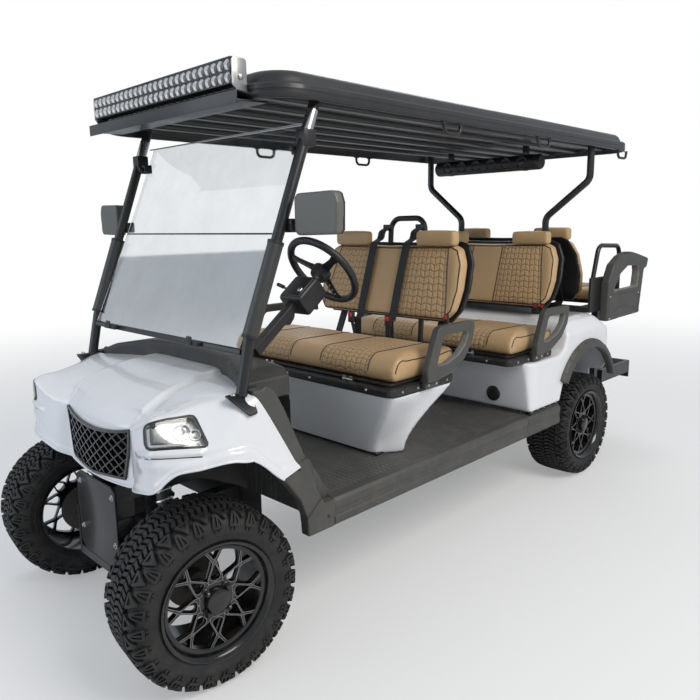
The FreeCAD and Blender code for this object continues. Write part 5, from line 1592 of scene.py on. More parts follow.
    def draped(self, tree: BVHTree, rows: Sequence[Sequence[Point2]], filled: bool) -> Object:
        """Patch laid on the cowl's surface over the left lamp.

        Args:
            tree: The cowl's surface.
            rows: Outlines from the outside in, as (along, up) on the lamp's plane.
            filled: Whether the last outline is filled in.
        """
        along, up, out = self.corner(self.lamp_lean)
        work = bmesh.new()
        loops = [[work.verts.new(self.lamp_spot(s, u, CAST_FROM)) for s, u in row] for row in rows]
        count = len(rows[0])
        for outer, inner in zip(loops, loops[1:]):
            for i in range(count):
                j = (i + 1) % count
                work.faces.new((outer[i], outer[j], inner[j], inner[i]))
        if filled:
            work.faces.new(loops[-1])
        for axis, first, step in ((along, -30.0, 8.0), (up, -60.0, 7.0)):
            for k in range(28):
                far = first + step * k
                spot = self.lamp_spot(far, 0, 0) if axis is along else self.lamp_spot(0, far, 0)
                bmesh.ops.bisect_plane(work, geom=[*work.verts, *work.edges, *work.faces], plane_co=spot,
                                       plane_no=axis)
        for vert in work.verts:
            hit, _, _, _ = tree.ray_cast(vert.co, -out, CAST_REACH)
            if hit:
                vert.co = hit
        work.normal_update()
        if sum(f.normal.dot(out) for f in work.faces) < 0:
            bmesh.ops.reverse_faces(work, faces=work.faces)
        mesh = bpy.data.meshes.new("lamp patch")
        work.to_mesh(mesh)
        work.free()
        obj = bpy.data.objects.new("lamp patch", mesh)
        bpy.context.scene.collection.objects.link(obj)
        return obj

    def mesh_grille(self) -> None:
        """Border and the crossing bars of the diamond mesh."""
        outline = dense(both(self.grille), 24.0)
        border = bevelled(band("border", Axis.Y, inset(outline, -0.5), 9.0, -129, -110), 2.0, 2)
        back = prism("grille back", Axis.Y, inset(outline, 2.0), -97, -94)
        for piece in (border, back):
            for vert in piece.data.vertices:
                vert.co.y += min(self.recess_depth, self.recess(vert.co.x * MM)) / MM
        opening = inset(both(self.grille), 5.0)
        bars = []
        for slope in (-1, 1):
            for k in range(-13, 14):
                span = self.clip((k * self.mesh_pitch + 6.0, 690.0), (self.mesh_run[0], slope * self.mesh_run[1]),
                                 opening)
                if not span:
                    continue
                start, stop = (Vector(p) for p in span)
                side = Vector((start.y - stop.y, stop.x - start.x)).normalized() * self.bar_half
                count = max(2, int((stop - start).length / 20.0))
                levels = []
                for i in range(count + 1):
                    u, v = start + (stop - start) * (i / count)
                    y = -126.0 - slope * 0.5 + min(self.recess_depth, self.recess(u))
                    far = y + self.bar_depth
                    levels.append([at(u - side.x, y, v - side.y), at(u + side.x, y, v + side.y),
                                   at(u + side.x, far, v + side.y), at(u - side.x, far, v - side.y)])
                bars.append(coloured(bevelled(rings("blade", levels), 1.0, 1), GRILLE_BLACK))
        parts = [coloured(border, GRILLE_BLACK), *bars, coloured(back, BLACK_PLASTIC)]
        dressed(joined("diamond mesh", parts), GRILLE_BLACK, stands_for=["grille"])

    @staticmethod
    def clip(start: Point2, step: Point2, outline: Sequence[Point2]) -> list[Point2]:
        """Part of a line inside an outline: its first and last crossing."""
        hits: list[float] = []
        for i, (ax, ay) in enumerate(outline):
            bx, by = outline[(i + 1) % len(outline)]
            ex, ey = bx - ax, by - ay
            cross = step[0] * ey - step[1] * ex
            if abs(cross) < 1e-9:
                continue
            t = ((ax - start[0]) * ey - (ay - start[1]) * ex) / cross
            u = ((ax - start[0]) * step[1] - (ay - start[1]) * step[0]) / cross
            if 0.0 <= u < 1.0:
                hits.append(t)
        if len(hits) < 2 or max(hits) - min(hits) < 0.2:
            return []
        return [(start[0] + step[0] * t, start[1] + step[1] * t) for t in (min(hits), max(hits))]

    def bumper(self) -> None:
        """Flat plate under the grille with four bolts and washers."""
        outline = both([(0, 250), (118, 250), (146, 290), (150, 548), (120, 566), (0, 566)])
        plate = bevelled(prism("plate", Axis.Y, outline, -127, -121), 1.2, 2)
        ears = [bevelled(block("ear", xs, (-122, 10), (385, 445)), 1.0, 2) for xs in ((138, 144.7), (-144.7, -138))]
        fold = [bevelled(band("fold", Axis.Y, inset(outline, 0.5), 5.0, -128.5, -120), 1.4, 2)]
        dressed(joined("bumper plate", [coloured(p, BLACK_COAT) for p in [plate, *ears, *fold]]), BLACK_COAT,
                stands_for=["bumper_plate"])
        places = [(x, -127, z) for x in (-125, 125) for z in (350, 526)]
        washer = lathe("washer", [(-1, 0), (-1, 11), (0.8, 11), (1.4, 10), (1.4, 0)], 28)
        washer.data.transform(Matrix.Rotation(math.radians(-90), 4, "Y"))
        washers = set_out("bumper washers", washer, [(at(*p), (0.0, -1.0, 0.0)) for p in places], STEEL)
        heads = set_out("bumper bolts", bolt(7.5, 6.0), [(at(x, y - 1.4, z), (0.0, -1.0, 0.0)) for x, y, z in places],
                        STEEL)
        dressed(joined("bumper fasteners", [washers, heads]), STEEL, angle=40.0)


# Dash and steering

@dataclass
class Cabin:
    """Dash, strips, pedals and the steering."""

    dash_half: float = 498.0
    dash: tuple[Point2, ...] = ((150, 860), (150, 990), (330, 985), (392, 950), (436, 880), (430, 780), (400, 655),
                                (384, 640), (372, 640), (372, 860))
    dash_rear: tuple[Point2, ...] = ((0, 436), (170, 431), (330, 414), (440, 392), (500, 372))
    strip_side: tuple[Point2, ...] = ((163, 921.7), (205, 921.7), (214, 932), (252, 908), (280, 842), (306, 758),
                                      (340, 665), (372, 585), (404, 505), (424, 474), (474, 474), (474, 371),
                                      (348, 371), (341, 447), (312, 520), (262, 586), (229, 623.7), (298.5, 646.6))
    strip_out: tuple[Point2, ...] = ((563, 940), (563, 922), (596, 760), (612, 650), (609, 540), (607, 371))
    wheel_centre: Point3 = (275.0, 748.0, 1259.0)
    tilt: float = 52.0

    def build(self) -> None:
        """All pieces of the driver's place."""
        self.dash_cover()
        self.column()
        self.steering_wheel()
        self.pedals()

    def dash_cover(self) -> None:
        """Crowned dash with its vents, and the side strips."""
        face = prism("dash", Axis.X, self.dash, -self.dash_half, self.dash_half)
        crown = prism("crown", Axis.Y, both([(0, 998), (250, 990), (430, 960), (500, 930), (500, 600), (0, 600)]),
                      100, 500)
        front = prism("front", Axis.Z, both([(0, 287.3), (160, 281.3), (300, 250.3), (400, 210.3), (470.3, 173),
                                             (500, 171), *reversed(flowing(self.dash_rear, 4))]), 600, 1010)
        face = coloured(moulded(carved(face, [crown, front], "INTERSECT"), 7.0, 7), DASH)
        out = list(self.strip_out)
        across = prism("across", Axis.Y, out + [(x - 44, z) for x, z in reversed(out)], 100, 500)
        strip = carved(prism("strip", Axis.X, self.strip_side, 500, 640), [across], "INTERSECT")
        strip = coloured(moulded(strip, 4.5, 4), TRIM)
        pieces = [face, strip, mirrored(strip)]
        for x in (-300.0, -60.0, 170.0, 400.0):
            ring = lathe("vent", [(-3, 34), (4, 34), (6, 31), (4, 27), (-3, 27)], 36)
            y = follow(self.dash_rear, abs(x)) - 5
            ring.data.transform(Matrix.Translation(at(x, y, 905)) @ Matrix.Rotation(math.radians(90), 4, "Z"))
            pieces.append(coloured(ring, BLACK_PLASTIC))
            for k in range(-2, 3):
                half = math.sqrt(27 ** 2 - (k * 10) ** 2) - 1
                blade = bevelled(block("blade", (x - half, x + half), (y - 7, y + 5), (904 + k * 10, 906.2 + k * 10)),
                                 0.6, 1)
                pieces.append(coloured(blade, BLACK_PLASTIC))
        joints = [tube("joint", [(612.0, y, z) for y, z in line], 1.3, BLACK_PLASTIC, 0, 6)
                  for line in (((302, 652), (341, 668)), ((341, 447), (405, 500)))]
        heads = set_out("strip bolts", bolt(6.0, 4.0), [(at(x, y, z), (1.0, 0.0, 0.0)) for x, y, z in
                                                        ((610, 306, 632), (607, 440, 420))], BLACK_COAT)
        extras = joined("strip joints", [*joints, heads])
        # Black sheet under the front of the floor, at the place of a toe board; it also paints the shade beneath the
        # cart and hides the ground seen under the floor.
        pieces.append(slab(BLACK_PLASTIC, "apron", (-330, 330), (353, 357), (332, 455), 1.0, 1))
        pieces += [extras, mirrored(extras)]
        dressed(joined("dash and side strips", pieces), DASH, stands_for=["dash_shroud"], angle=50.0)

    def tilted(self, obj: Object, along: float = 0.0) -> Object:
        """Turn a piece built about +Z onto the column, at a length along it from the wheel's centre."""
        move = Matrix.Translation(at(*self.wheel_centre)) @ Matrix.Rotation(math.radians(-self.tilt), 4, "X") \
            @ Matrix.Translation(Vector((0, 0, along / MM)))
        obj.data.transform(move)
        return obj

    def column(self) -> None:
        """Square column tube with a chamfered switch box and its lever."""
        def local(name: str, x: Point2, y: Point2, z: Point2, edge: float) -> Object:
            """Rounded box about the steering wheel's centre, on the column."""
            obj = bevelled(block(name, x, (y[0] - SHIFT, y[1] - SHIFT), z), edge, 3)
            return self.tilted(obj)
        column_tube = local("tube", (-19, 19), (-19, 19), (-450, -74), 4.0)
        switch_box = local("switch box", (-62, 62), (-42, 52), (-204, -74), 14.0)
        lid = local("switch lid", (-52, 52), (-45, -38), (-192, -88), 5.0)
        key = local("key barrel", (28, 48), (-52, -42), (-170, -150), 4.0)
        thin_rod = tube("lever", [(-58, 10, -120), (-120, 6, -112), (-185, 2, -96)], 4.5, BLACK_PLASTIC, shift=False)
        grip = tube("lever grip", [(-150, 4, -104), (-192, 2, -94)], 8.0, BLACK_PLASTIC, shift=False)
        parts = [coloured(column_tube, BLACK_PLASTIC), coloured(switch_box, BLACK_PLASTIC),
                 coloured(lid, BLACK_PLASTIC),
                 coloured(key, STEEL)]
        parts += [coloured(self.tilted(p), BLACK_PLASTIC) for p in (thin_rod, grip)]
        dressed(joined("steering column", parts), DASH, stands_for=["steering_column"])

    def steering_wheel(self) -> None:
        """Padded rim, three spokes, hub pad and shaft."""
        rim = lathe("wheel rim", [(15 * math.cos(2 * math.pi * k / 16), 154 + 15 * math.sin(2 * math.pi * k / 16))
                                  for k in range(16)], 96)
        rim.data.transform(Matrix.Rotation(math.radians(90), 4, "Y"))
        parts = [coloured(rim, BLACK_PLASTIC)]
        for angle in (90, 210, 330):
            outline = [(24, -24), (60, -17), (110, -14), (150, -20), (150, 20), (110, 14), (60, 17), (24, 24)]
            arm = bevelled(prism("spoke", Axis.Z, [(u, v - SHIFT) for u, v in outline], -9, -1), 2.5, 2)
            if angle == 90:
                holes = [prism("hole", Axis.Z,
                               [(c + 7 * math.cos(t * math.pi / 8), -SHIFT + 7 * math.sin(t * math.pi / 8))
                                                for t in range(16)], -30, 30) for c in (72, 96, 120)]
                arm = carved(arm, holes)
            arm.data.transform(Matrix.Rotation(math.radians(angle), 4, "Z"))
            parts.append(coloured(arm, BLACK_COAT))
        hub = lathe("hub", [(-36, 0), (-36, 34), (-26, 38), (-8, 42), (2, 40), (8, 32), (10, 0)], 40)
        shaft = lathe("shaft", [(-73, 0), (-73, 12), (-30, 12), (-30, 0)], 24)
        for piece in (hub, shaft):
            piece.data.transform(Matrix.Rotation(math.radians(-90), 4, "Y"))
        parts += [coloured(hub, BLACK_PLASTIC), coloured(shaft, STEEL)]
        wheel = joined("steering wheel", parts)
        dressed(self.tilted(wheel), BLACK_PLASTIC, "steering_wheel", ["steering_wheel"], 40.0)

    def pedals(self) -> None:
        """Rubber ribs on the two pads."""
        for x, half in ((210.0, 42.0), (335.0, 30.0)):
            ribs = [bevelled(block("rib", (x - half + 5, x + half - 5), (467, 471), (566 + k * 13, 572 + k * 13)), 1.2,
                             1)
                    for k in range(6)]
            pad = joined("pedal ribs", ribs)
            pad.data.transform(pivot(at(x, 476, 600), 28, Axis.X))
            dressed(pad, BLACK_PLASTIC)


# Body, floor edges and arms

def arc_sweep(name: str, section: Sequence[Point2], y: float, z: float, start: float, stop: float,
              steps: int = 48) -> Object:
    """Section of (x, radius) points carried round an arc about a crossways axis.

    Args:
        name: Name of the object.
        section: Closed section.
        y: Station of the arc's centre.
        z: Height of the arc's centre.
        start: First angle in degrees, from rearwards up.
        stop: Last angle in degrees.
        steps: Steps along the arc.
    """
    levels = []
    for k in range(steps + 1):
        angle = math.radians(start + (stop - start) * k / steps)
        levels.append([at(x, y + r * math.cos(angle), z + r * math.sin(angle)) for x, r in section])
    return rings(name, levels)


@dataclass
class Body:
    """White body parts, rockers, trays, arms and the rear step."""

    low: float = 488.0
    top: float = 922.0
    rear_end: float = 2765.0
    half: float = 600.0
    arch: Point2 = (2472.0, 430.0)
    arch_radius: float = 322.0
    tray_z: float = 762.0
    tray_height: float = 33.0
    bench_pitch: float = 880.0
    bench_drop: float = 18.0
    pod_levels: tuple[tuple[float, float, float, float, float], ...] = (
        (474.3, 415.0, 468.0, 905.0, 1045.0), (545.0, 432.0, 484.0, 896.0, 1062.0),
        (640.0, 490.0, 520.0, 880.0, 1130.0), (735.0, 548.0, 556.0, 850.0, 1236.0),
        (761.7, 560.0, 560.0, 840.0, 1258.0))
    arm: tuple[Point2, ...] = ((1012, 800), (1008, 850), (1078, 1010), (1100, 1024), (1330, 1024), (1338, 1000),
                               (1322, 930), (1262, 862), (1160, 812), (1060, 796))
    arm_window: tuple[Point2, ...] = ((1072, 862), (1114, 972), (1130, 984), (1286, 984), (1290, 968), (1270, 930),
                                      (1220, 888), (1140, 862))
    rear_arm: tuple[Point2, ...] = ((2700, 862), (2700, 1090), (2760, 1190), (2860, 1240), (3010, 1252), (3268, 1206),
                                    (3250, 1150), (3205, 1140), (3160, 870))
    rear_window: tuple[Point2, ...] = ((2770, 1032), (2860, 1130), (2960, 1172), (3120, 1166), (3134, 1130),
                                       (3120, 1040))

    def build(self) -> None:
        """All body pieces."""
        self.pod()
        self.rear_body()
        self.flares()
        self.rockers()
        self.trays()
        self.arms()
        self.rear_arms()
        self.step()

    def pod(self) -> None:
        """White box under the front bench, open on top."""
        levels = []
        for z, fx, rx, y0, y1 in flowing(self.pod_levels, 5):
            half = [(0, y0), (fx - 40, y0), (fx - 12, y0 + 10), (fx, y0 + 40), (rx, y1 - 25), (rx - 25, y1), (0, y1)]
            levels.append([at(x, y, z) for x, y in both(half)])
        form = moulded(rings("pod", levels), 9.0, 6)
        lid = block("open top", (-600, 600), (780, 1300), (757, 800))
        skin = skinned(form, [lid], 7.0)
        plinth = slab(BLACK_PLASTIC, "plinth", (-418, 418), (903, 1046), (474.2, 486), 3.0)
        dressed(joined("seat pod", [skin, plinth]), PAINT, stands_for=["seat_pod"], angle=50.0)

    def rear_body(self) -> None:
        """Rear body over the wheels, hollow, with its arches."""
        profile = [(1838, 744), (1862, self.low), (self.rear_end, self.low), (self.rear_end, 720), (2728, 822),
                   (2640, 892), (2590, self.top), (2330, self.top), (2285, 908), (2238, 862), (2198, 768), (2144, 744)]
        form = prism("rear body form", Axis.X, profile, -700, 700)
        plan = prism("plan", Axis.Z, [(x, y) for x, y in rounded(self.half, 1836, self.rear_end, 62)], 400, 1000)
        crown = prism("crown", Axis.Y, both([(0, 930), (505, 930), (560, 905), (596, 840), (602, 760), (602, 400),
                                             (0, 400)]), 1800, 2800)
        form = moulded(carved(form, [plan, crown], "INTERSECT"), 9.0, 8)
        cutters = [block("below", (-650, 650), (1900, 2800), (400, 497))]
        y, z = self.arch
        for low, high in ((480, 730), (-730, -480)):
            wheel = lathe("arch", [(low, 0), (low, self.arch_radius), (high, self.arch_radius), (high, 0)], 96)
            wheel.data.transform(Matrix.Translation(at(0, y, z)))
            cutters.append(wheel)
        skin = skinned(form, cutters, 7.0)
        cap = lathe("cap", [(0, 0), (0, 40), (5, 40), (9, 36), (9, 14), (6, 10), (6, 0)], 40)
        cap.data.transform(Matrix.Translation(at(382, 1855, 561)) @ Matrix.Rotation(math.radians(-90), 4, "Z"))
        dressed(joined("rear body", [skin, coloured(cap, BLACK_PLASTIC)]), PAINT, stands_for=["rear_body"],
                angle=50.0)

    def flares(self) -> None:
        """Grey lips round the rear arches with a row of dark bolts."""
        y, z = self.arch
        section = [(588, 315), (622, 314), (629, 317), (630, 324), (626, 340), (618, 354), (606, 362), (588, 364)]
        lip = arc_sweep("fender flares", section, y, z, 21.0, 151.0)
        dressed(pair(coloured(bevelled(lip, 2.5, 2, 50.0), TRIM)), TRIM, stands_for=["fender_flares"])
        places = []
        for k in range(9):
            angle = math.radians(28 + 14.5 * k)
            spot = at(615, y + 352 * math.cos(angle), z + 352 * math.sin(angle))
            places.append((spot, (0.85, 0.5 * math.cos(angle), 0.5 * math.sin(angle))))
        heads = set_out("flare bolts", bolt(7.0, 4.5), places, BLACK_COAT)
        dressed(pair(heads), BLACK_COAT)

    def rockers(self) -> None:
        """Side rails with the bolted sill strip over the rear length."""
        outer, inner = 607.0, 560.0
        section = [(inner, 371), (outer - 7, 371), (outer, 379), (outer, 404), (outer - 3, 408), (outer - 3, 430),
                   (outer, 434), (outer, 462), (outer - 10, 474), (inner, 474)]
        parts = [coloured(bevelled(prism("rail", Axis.Y, section, y0, y1), 2.0, 2, 20.0), TRIM)
                 for y0, y1 in ((474.5, 1827), (1829, 2160))]
        strip = [(inner + 20, 473), (outer - 11, 473), (outer - 11, 484), (outer - 15, 488), (inner + 20, 488)]
        parts.append(coloured(bevelled(prism("sill", Axis.Y, strip, 1866, 2160), 1.5, 2), BLACK_PLASTIC))
        dressed(pair(joined("rocker rails", parts)), TRIM, stands_for=["rockers"])
        heads = set_out("sill bolts", bolt(6.0, 3.5), [(at(587, y, 488), (0.0, 0.0, 1.0))
                                                       for y in range(1890, 2150, 62)], STEEL)
        dressed(pair(heads), STEEL, angle=40.0)

    def trays(self) -> None:
        """Black rims under the two benches, their bolts and the hinge clips."""
        for index, name in enumerate(("front", "middle")):
            offset, drop = index * self.bench_pitch, index * self.bench_drop
            y0, y1 = 828 + offset, 1262 + offset
            z0, z1 = self.tray_z - drop, self.tray_z + self.tray_height - drop
            outer = rounded(566, y0, y1, 40)
            inner = rounded(470, y0 + 60, y1 - 60, 30)
            levels = [[at(x, y, z) for x, y in ring] for z, ring in
                      ((z0, inset(outer, 5)), (z0 + 6, outer), (z1 - 8, outer), (z1 - 2, inset(outer, 2.5)),
                       (z1, inset(outer, 7)), (z1, inner), (z0, inner))]
            count = len(outer)
            points = [p for level in levels for p in level]
            faces = [(k * count + i, k * count + (i + 1) % count, ((k + 1) % 7) * count + (i + 1) % count,
                      ((k + 1) % 7) * count + i) for k in range(7) for i in range(count)]
            tray = outward(make(f"{name} tray", points, faces))
            dressed(coloured(tray, BLACK_PLASTIC), BLACK_PLASTIC, stands_for=["seat_trays"])
            side = [(at(565.5, y0 + 70 + k * 98, z0 + 17), (1.0, 0.0, 0.0)) for k in range(4)]
            front = [(at(x, y0 + 0.5, z0 + 17), (0.0, -1.0, 0.0)) for x in (-420, -300, -60, 90, 430)]
            mirror_side = [(Vector((-p.x, p.y, p.z)), (-1.0, 0.0, 0.0)) for p, _ in side]
            heads = set_out(f"{name} tray bolts", bolt(6.5, 4.0), side + front + mirror_side, STEEL)
            dressed(heads, STEEL, angle=40.0)
            clips = []
            for x in (-191.0, 322.0):
                for dx in (-20, 20):
                    clips.append(bevelled(block("leaf", (x + dx - 7, x + dx + 7), (y0 + 3, y0 + 7), (z1 - 2, z1 + 27)),
                                          1.2, 2))
                clips.append(bevelled(block("bridge", (x - 26, x + 26), (y0 + 1, y0 + 8), (z1 + 7, z1 + 16)), 2.0, 2))
                clips.append(tube("pin", [(x - 29, y0 + 5, z1 + 11.5), (x + 29, y0 + 5, z1 + 11.5)], 5.0, STEEL,
                                  sides=12))
            clips = [coloured(c, STEEL) for c in clips]
            dressed(joined(f"{name} hinge clips", clips), STEEL, angle=40.0)

    def arm_piece(self, name: str, outline: Sequence[Point2], window: Sequence[Point2], x: Point2,
                  voxel: float) -> Object:
        """Rounded arm with its window, the window's walls in the lighter finish."""
        solid = prism(name, Axis.X, outline, *x)
        hole = prism("window", Axis.X, window, x[0] - 20, x[1] + 20)
        solid = moulded(carved(solid, [hole]), voxel, 5)
        coloured(solid, TRIM)
        solid.data.materials.append(TRIM_INNER.material())
        ring = [Vector((u, v)) for u, v in inset(window, -voxel * 1.4)]
        for face in solid.data.polygons:
            centre = station(Vector(face.center))
            if abs(face.normal.x) < 0.6 and within(centre.y, centre.z, ring):
                face.material_index = 1
        return solid

    def arms(self) -> None:
        """Arms at both ends of both benches."""
        pieces = []
        for offset, drop in ((0.0, 0.0), (self.bench_pitch, self.bench_drop)):
            outline = [(y + offset, z - drop) for y, z in self.arm]
            window = [(y + offset, z - drop) for y, z in self.arm_window]
            arm = self.arm_piece("arm", outline, window, (571, 607), 5.0)
            foot = slab(TRIM, "foot", (566.5, 590), (1016 + offset, 1106 + offset), (770 - drop, 812 - drop), 4.0)
            foot_top = slab(TRIM, "foot top", (556.6, 588), (1020 + offset, 1100 + offset), (796 - drop, 814 - drop),
                            4.0)
            screw = set_out("screw", bolt(7.0, 4.0), [(at(590, y + offset, 786 - drop), (1.0, 0.0, 0.0))
                                                      for y in (1036, 1086)], STEEL)
            pieces += [arm, foot, foot_top, screw]
        dressed(pair(joined("bench arms", pieces)), TRIM, stands_for=["armrests"], angle=50.0)

    def rear_arms(self) -> None:
        """Arms of the rear-facing seat with grooved tops and embossed side panels."""
        arm = self.arm_piece("arm", self.rear_arm, self.rear_window, (552.4, 603), 6.5)
        parts = [arm]
        top = [(2764, 1184), (2862, 1232), (3010, 1244), (3262, 1199)]
        for x in (566, 578, 590):
            route = [(x, y, z + 6.5) for y, z in flowing(top, 6)]
            parts.append(tube("rib", route, 3.6, TRIM, bend=0, sides=8))
        panel = flowing([(2716, 900), (2722, 1010), (2790, 1018), (2960, 1012), (3130, 1012), (3146, 960), (3140, 884)],
                        5)
        parts.append(tube("emboss", [(602.5, y, z) for y, z in panel], 4.0, TRIM, bend=0, sides=10))
        curve = flowing([(2720, 884), (2860, 930), (3000, 930), (3138, 890)], 6)
        parts.append(tube("emboss low", [(602.5, y, z) for y, z in curve], 4.0, TRIM, bend=0, sides=10))
        dressed(pair(joined("rear seat arms", parts)), TRIM, stands_for=["rear_armrests"], angle=50.0)
        spots = [(at(603, y, z), (1.0, 0.0, 0.0)) for y, z in ((2722, 876), (3148, 884), (2722, 1004), (3130, 1000))]
        dressed(pair(set_out("rear arm bolts", bolt(7.0, 4.5), spots, STEEL)), STEEL, angle=40.0)

    def step(self) -> None:
        """Tread strips on the rear foot platform."""
        strips = [bevelled(block("tread", (-430, 430), (y, y + 9), (500.5, 504.5)), 1.5, 1)
                  for y in range(3030, 3420, 26)]
        dressed(joined("step treads", [coloured(s, BLACK_PLASTIC) for s in strips]), BLACK_PLASTIC)


def within(u: float, v: float, ring: Sequence[Vector]) -> bool:
    """Whether a point lies inside a closed outline."""
    inside = False
    for a, b in zip(ring, [*ring[1:], ring[0]]):
        if (a.y > v) != (b.y > v) and u < (b.x - a.x) * (v - a.y) / (b.y - a.y) + a.x:
            inside = not inside
    return inside


# Roof, posts and what they carry

@dataclass
class Canopy:
    """Roof with its posts, handles, light bar, windshield, mirrors and speaker bar."""

    half: float = 597.0
    front: float = 262.0
    rear: float = 2939.0
    low: float = 1828.0
    rim: float = 1878.0
    crown: float = 1922.0
    ceiling: float = 1866.0

    def build(self) -> None:
        """All pieces above the belt line."""
        self.roof()
        self.posts()
        self.handles()
        self.light_bar()
        self.windshield()
        self.mirrors()
        self.sound_bar()

    def roof(self) -> None:
        """Moulded roof with a rolled edge, a crowned top and ribs below."""
        rows = (  # height, distance in from the outline
            (self.ceiling, 60), (self.ceiling, 19), (self.ceiling - 5, 17), (self.low + 2, 15), (self.low, 12),
            (self.low, 5), (self.low + 2, 2), (self.low + 8, 0), (self.low + 22, 0), (self.low + 24, 2),
            (self.low + 27, 2), (self.low + 29, 0), (self.rim - 8, 1), (self.rim - 2, 6), (self.rim, 14),
            (self.rim + 2, 22), (self.rim + 12, 27), (self.rim + 28, 34), (self.rim + 39, 48), (self.crown - 1, 78),
            (self.crown, 130))
        levels = []
        for z, d in rows:
            ring = rounded(self.half - d, self.front + d, self.rear - d * (1.3 if z > self.rim else 1.0),
                           max(30.0, 150 - d), 12)
            levels.append([at(x, y, z) for x, y in ring])
        shell = coloured(rings("roof shell", levels), ROOF_BLACK)
        parts = [shell]
        for x in (-420.0, -252.0, -84.0, 84.0, 252.0, 420.0):
            section = [(x - 24, self.ceiling + 3), (x - 19, self.ceiling - 16), (x - 13, self.ceiling - 19),
                       (x + 13, self.ceiling - 19), (x + 19, self.ceiling - 16), (x + 24, self.ceiling + 3)]
            parts.append(coloured(bevelled(prism("rib", Axis.Y, section, 302, 2899), 3.0, 2, 25.0), ROOF_BLACK))
        dressed(joined("roof moulding", parts), ROOF_BLACK, stands_for=["roof"])

    def posts(self) -> None:
        """Front posts with sleeves, clamps and feet, and the bent rear posts."""
        lower = tube("post", [(531, 142, 906), (531, 181, 1079), (546, 487, 1861)], 19, BLACK_COAT, 60)
        sleeve = tube("sleeve", [(531.2, 183, 1086), (537, 301, 1388)], 26, SLEEVE, 0, 28)
        collar = [tube("collar", [(531.2 + 5.8 * t, 183 + 118 * t, 1086 + 302 * t),
                                  (531.2 + 5.8 * (t + 0.03), 183 + 118 * (t + 0.03), 1086 + 302 * (t + 0.03))],
                       27.5, BLACK_PLASTIC, 0, 28) for t in (0.0, 0.97)]
        bright = tube("upper tube", [(543.2, 434, 1726), (544.9, 465, 1806)], 20.2, MACHINED, 0, 28)
        plate = rings("foot",
                      [[at(524, 84, h), at(548, 80, h), at(590, 128, h - 58), at(590, 160, h - 54), at(548, 166, h),
                                at(524, 166, h)] for h in (909, 917)])
        foot = bevelled(plate, 2.0, 2, 20.0)
        screw = set_out("foot screw", bolt(8.0, 5.0), [(at(540, 104, 917), (0.0, 0.0, 1.0))], STEEL)
        clamp = bevelled(block("clamp", (520, 566), (410, 462), (1690, 1745)), 5.0, 2)
        head = bevelled(block("head", (524, 570), (462, 512), (1854, 1865.6)), 2.5, 2)
        parts = [lower, sleeve, *collar, bright, coloured(foot, BLACK_COAT), screw, coloured(clamp, BLACK_PLASTIC),
                 coloured(head, BLACK_COAT)]
        dressed(pair(joined("windshield posts", parts)), BLACK_COAT, stands_for=["front_posts"])
        rear = tube("rear post", [(292, 2503, 932), (292, 2503, 1462), (544, 2507, 1662), (544, 2507, 1865)], 19,
                    BLACK_COAT, 60)
        pad = slab(BLACK_COAT, "pad", (258, 326), (2469, 2537), (922.3, 934), 2.0)
        screws = set_out("pad screws", bolt(6.0, 4.0), [(at(292 + dx, 2503 + dy, 934), (0.0, 0.0, 1.0))
                                                        for dx in (-25, 25) for dy in (-25, 25)], STEEL)
        dressed(pair(joined("bent rear posts", [rear, pad, screws])), BLACK_COAT, stands_for=["rear_posts"])

    def handles(self) -> None:
        """C-shaped grab loops with their end plates."""
        parts = []
        for y in (1175.0, 1905.0, 2800.0):
            x = self.half - 8
            parts.append(tube("loop", [(x, y - 55, 1828), (x, y - 55, 1788), (x, y + 55, 1788), (x, y + 55, 1828)], 7,
                              BLACK_COAT, 26, 16))
            for end in (-55, 55):
                plate = bevelled(block("plate", (x - 9, x + 6), (y + end - 15, y + end + 15), (1824.5, 1828)), 1.0, 1)
                parts.append(coloured(plate, BLACK_COAT))
        dressed(pair(joined("grab loops", parts)), BLACK_COAT, stands_for=["roof_handles"])

    def light_bar(self) -> None:
        """Finned housing with two rows of lamp cups, end plates and the sheet-metal angle."""
        housing = slab(BLACK_COAT, "housing", (-462, 462), (216, 258), (1870, 1946), 3.0)
        parts = [housing]
        for z in (1868, 1905.5, 1943):
            parts.append(slab(BLACK_COAT, "frame", (-464, 464), (205, 222), (z, z + 5), 1.5))
        for k in range(24):
            x = -455 + k * 39.56
            parts.append(coloured(block("fin", (x - 1.2, x + 1.2), (232, 261.5), (1868.5, 1947.5)), BLACK_COAT))
        places = [(at(-444 + column * 35.52, 213, z), (0.0, -1.0, 0.0)) for z in (1889, 1926) for column in range(26)]
        cup = lathe("cup", [(-7, 0), (-7, 6), (-2, 13), (5, 16.5), (6.5, 17.2), (6.5, 18), (-7, 17)], 20)
        diode = lathe("diode", [(-7, 0), (-7, 3.6), (-4.5, 3.2), (-4, 0)], 10)
        for item in (cup, diode):
            item.data.transform(Matrix.Rotation(math.radians(-90), 4, "Y"))
        parts.append(set_out("cups", cup, places, CHROME))
        parts.append(set_out("diodes", diode, places, DIODE))
        cover = coloured(block("cover", (-461, 461), (206.5, 208.5), (1873, 1943)), LENS)
        for side in (-1, 1):
            xs = sorted((side * 463, side * 471))
            plate = prism("end plate", Axis.X, [(207, 1868), (222, 1847), (261.6, 1847), (261.6, 1940), (254, 1947),
                                                (214, 1947), (207, 1940)], *xs)
            parts.append(coloured(bevelled(plate, 2.0, 2), STEEL))
            knob = lathe("knob", [(0, 0), (0, 9), (6, 8), (8, 5), (8, 0)], 18)
            turn = Matrix.Identity(4) if side > 0 else Matrix.Rotation(math.pi, 4, "Z")
            knob.data.transform(Matrix.Translation(at(side * 471, 235, 1890)) @ turn)
            parts.append(coloured(knob, STEEL))
        dressed(joined("lamp bar", parts), BLACK_COAT, stands_for=["light_bar"])
        dressed(cover, LENS)
        angle_side = [(196, 1806), (200, 1806), (200, 1842), (330, 1827.7), (330, 1832), (200, 1846.3), (196, 1846.3)]
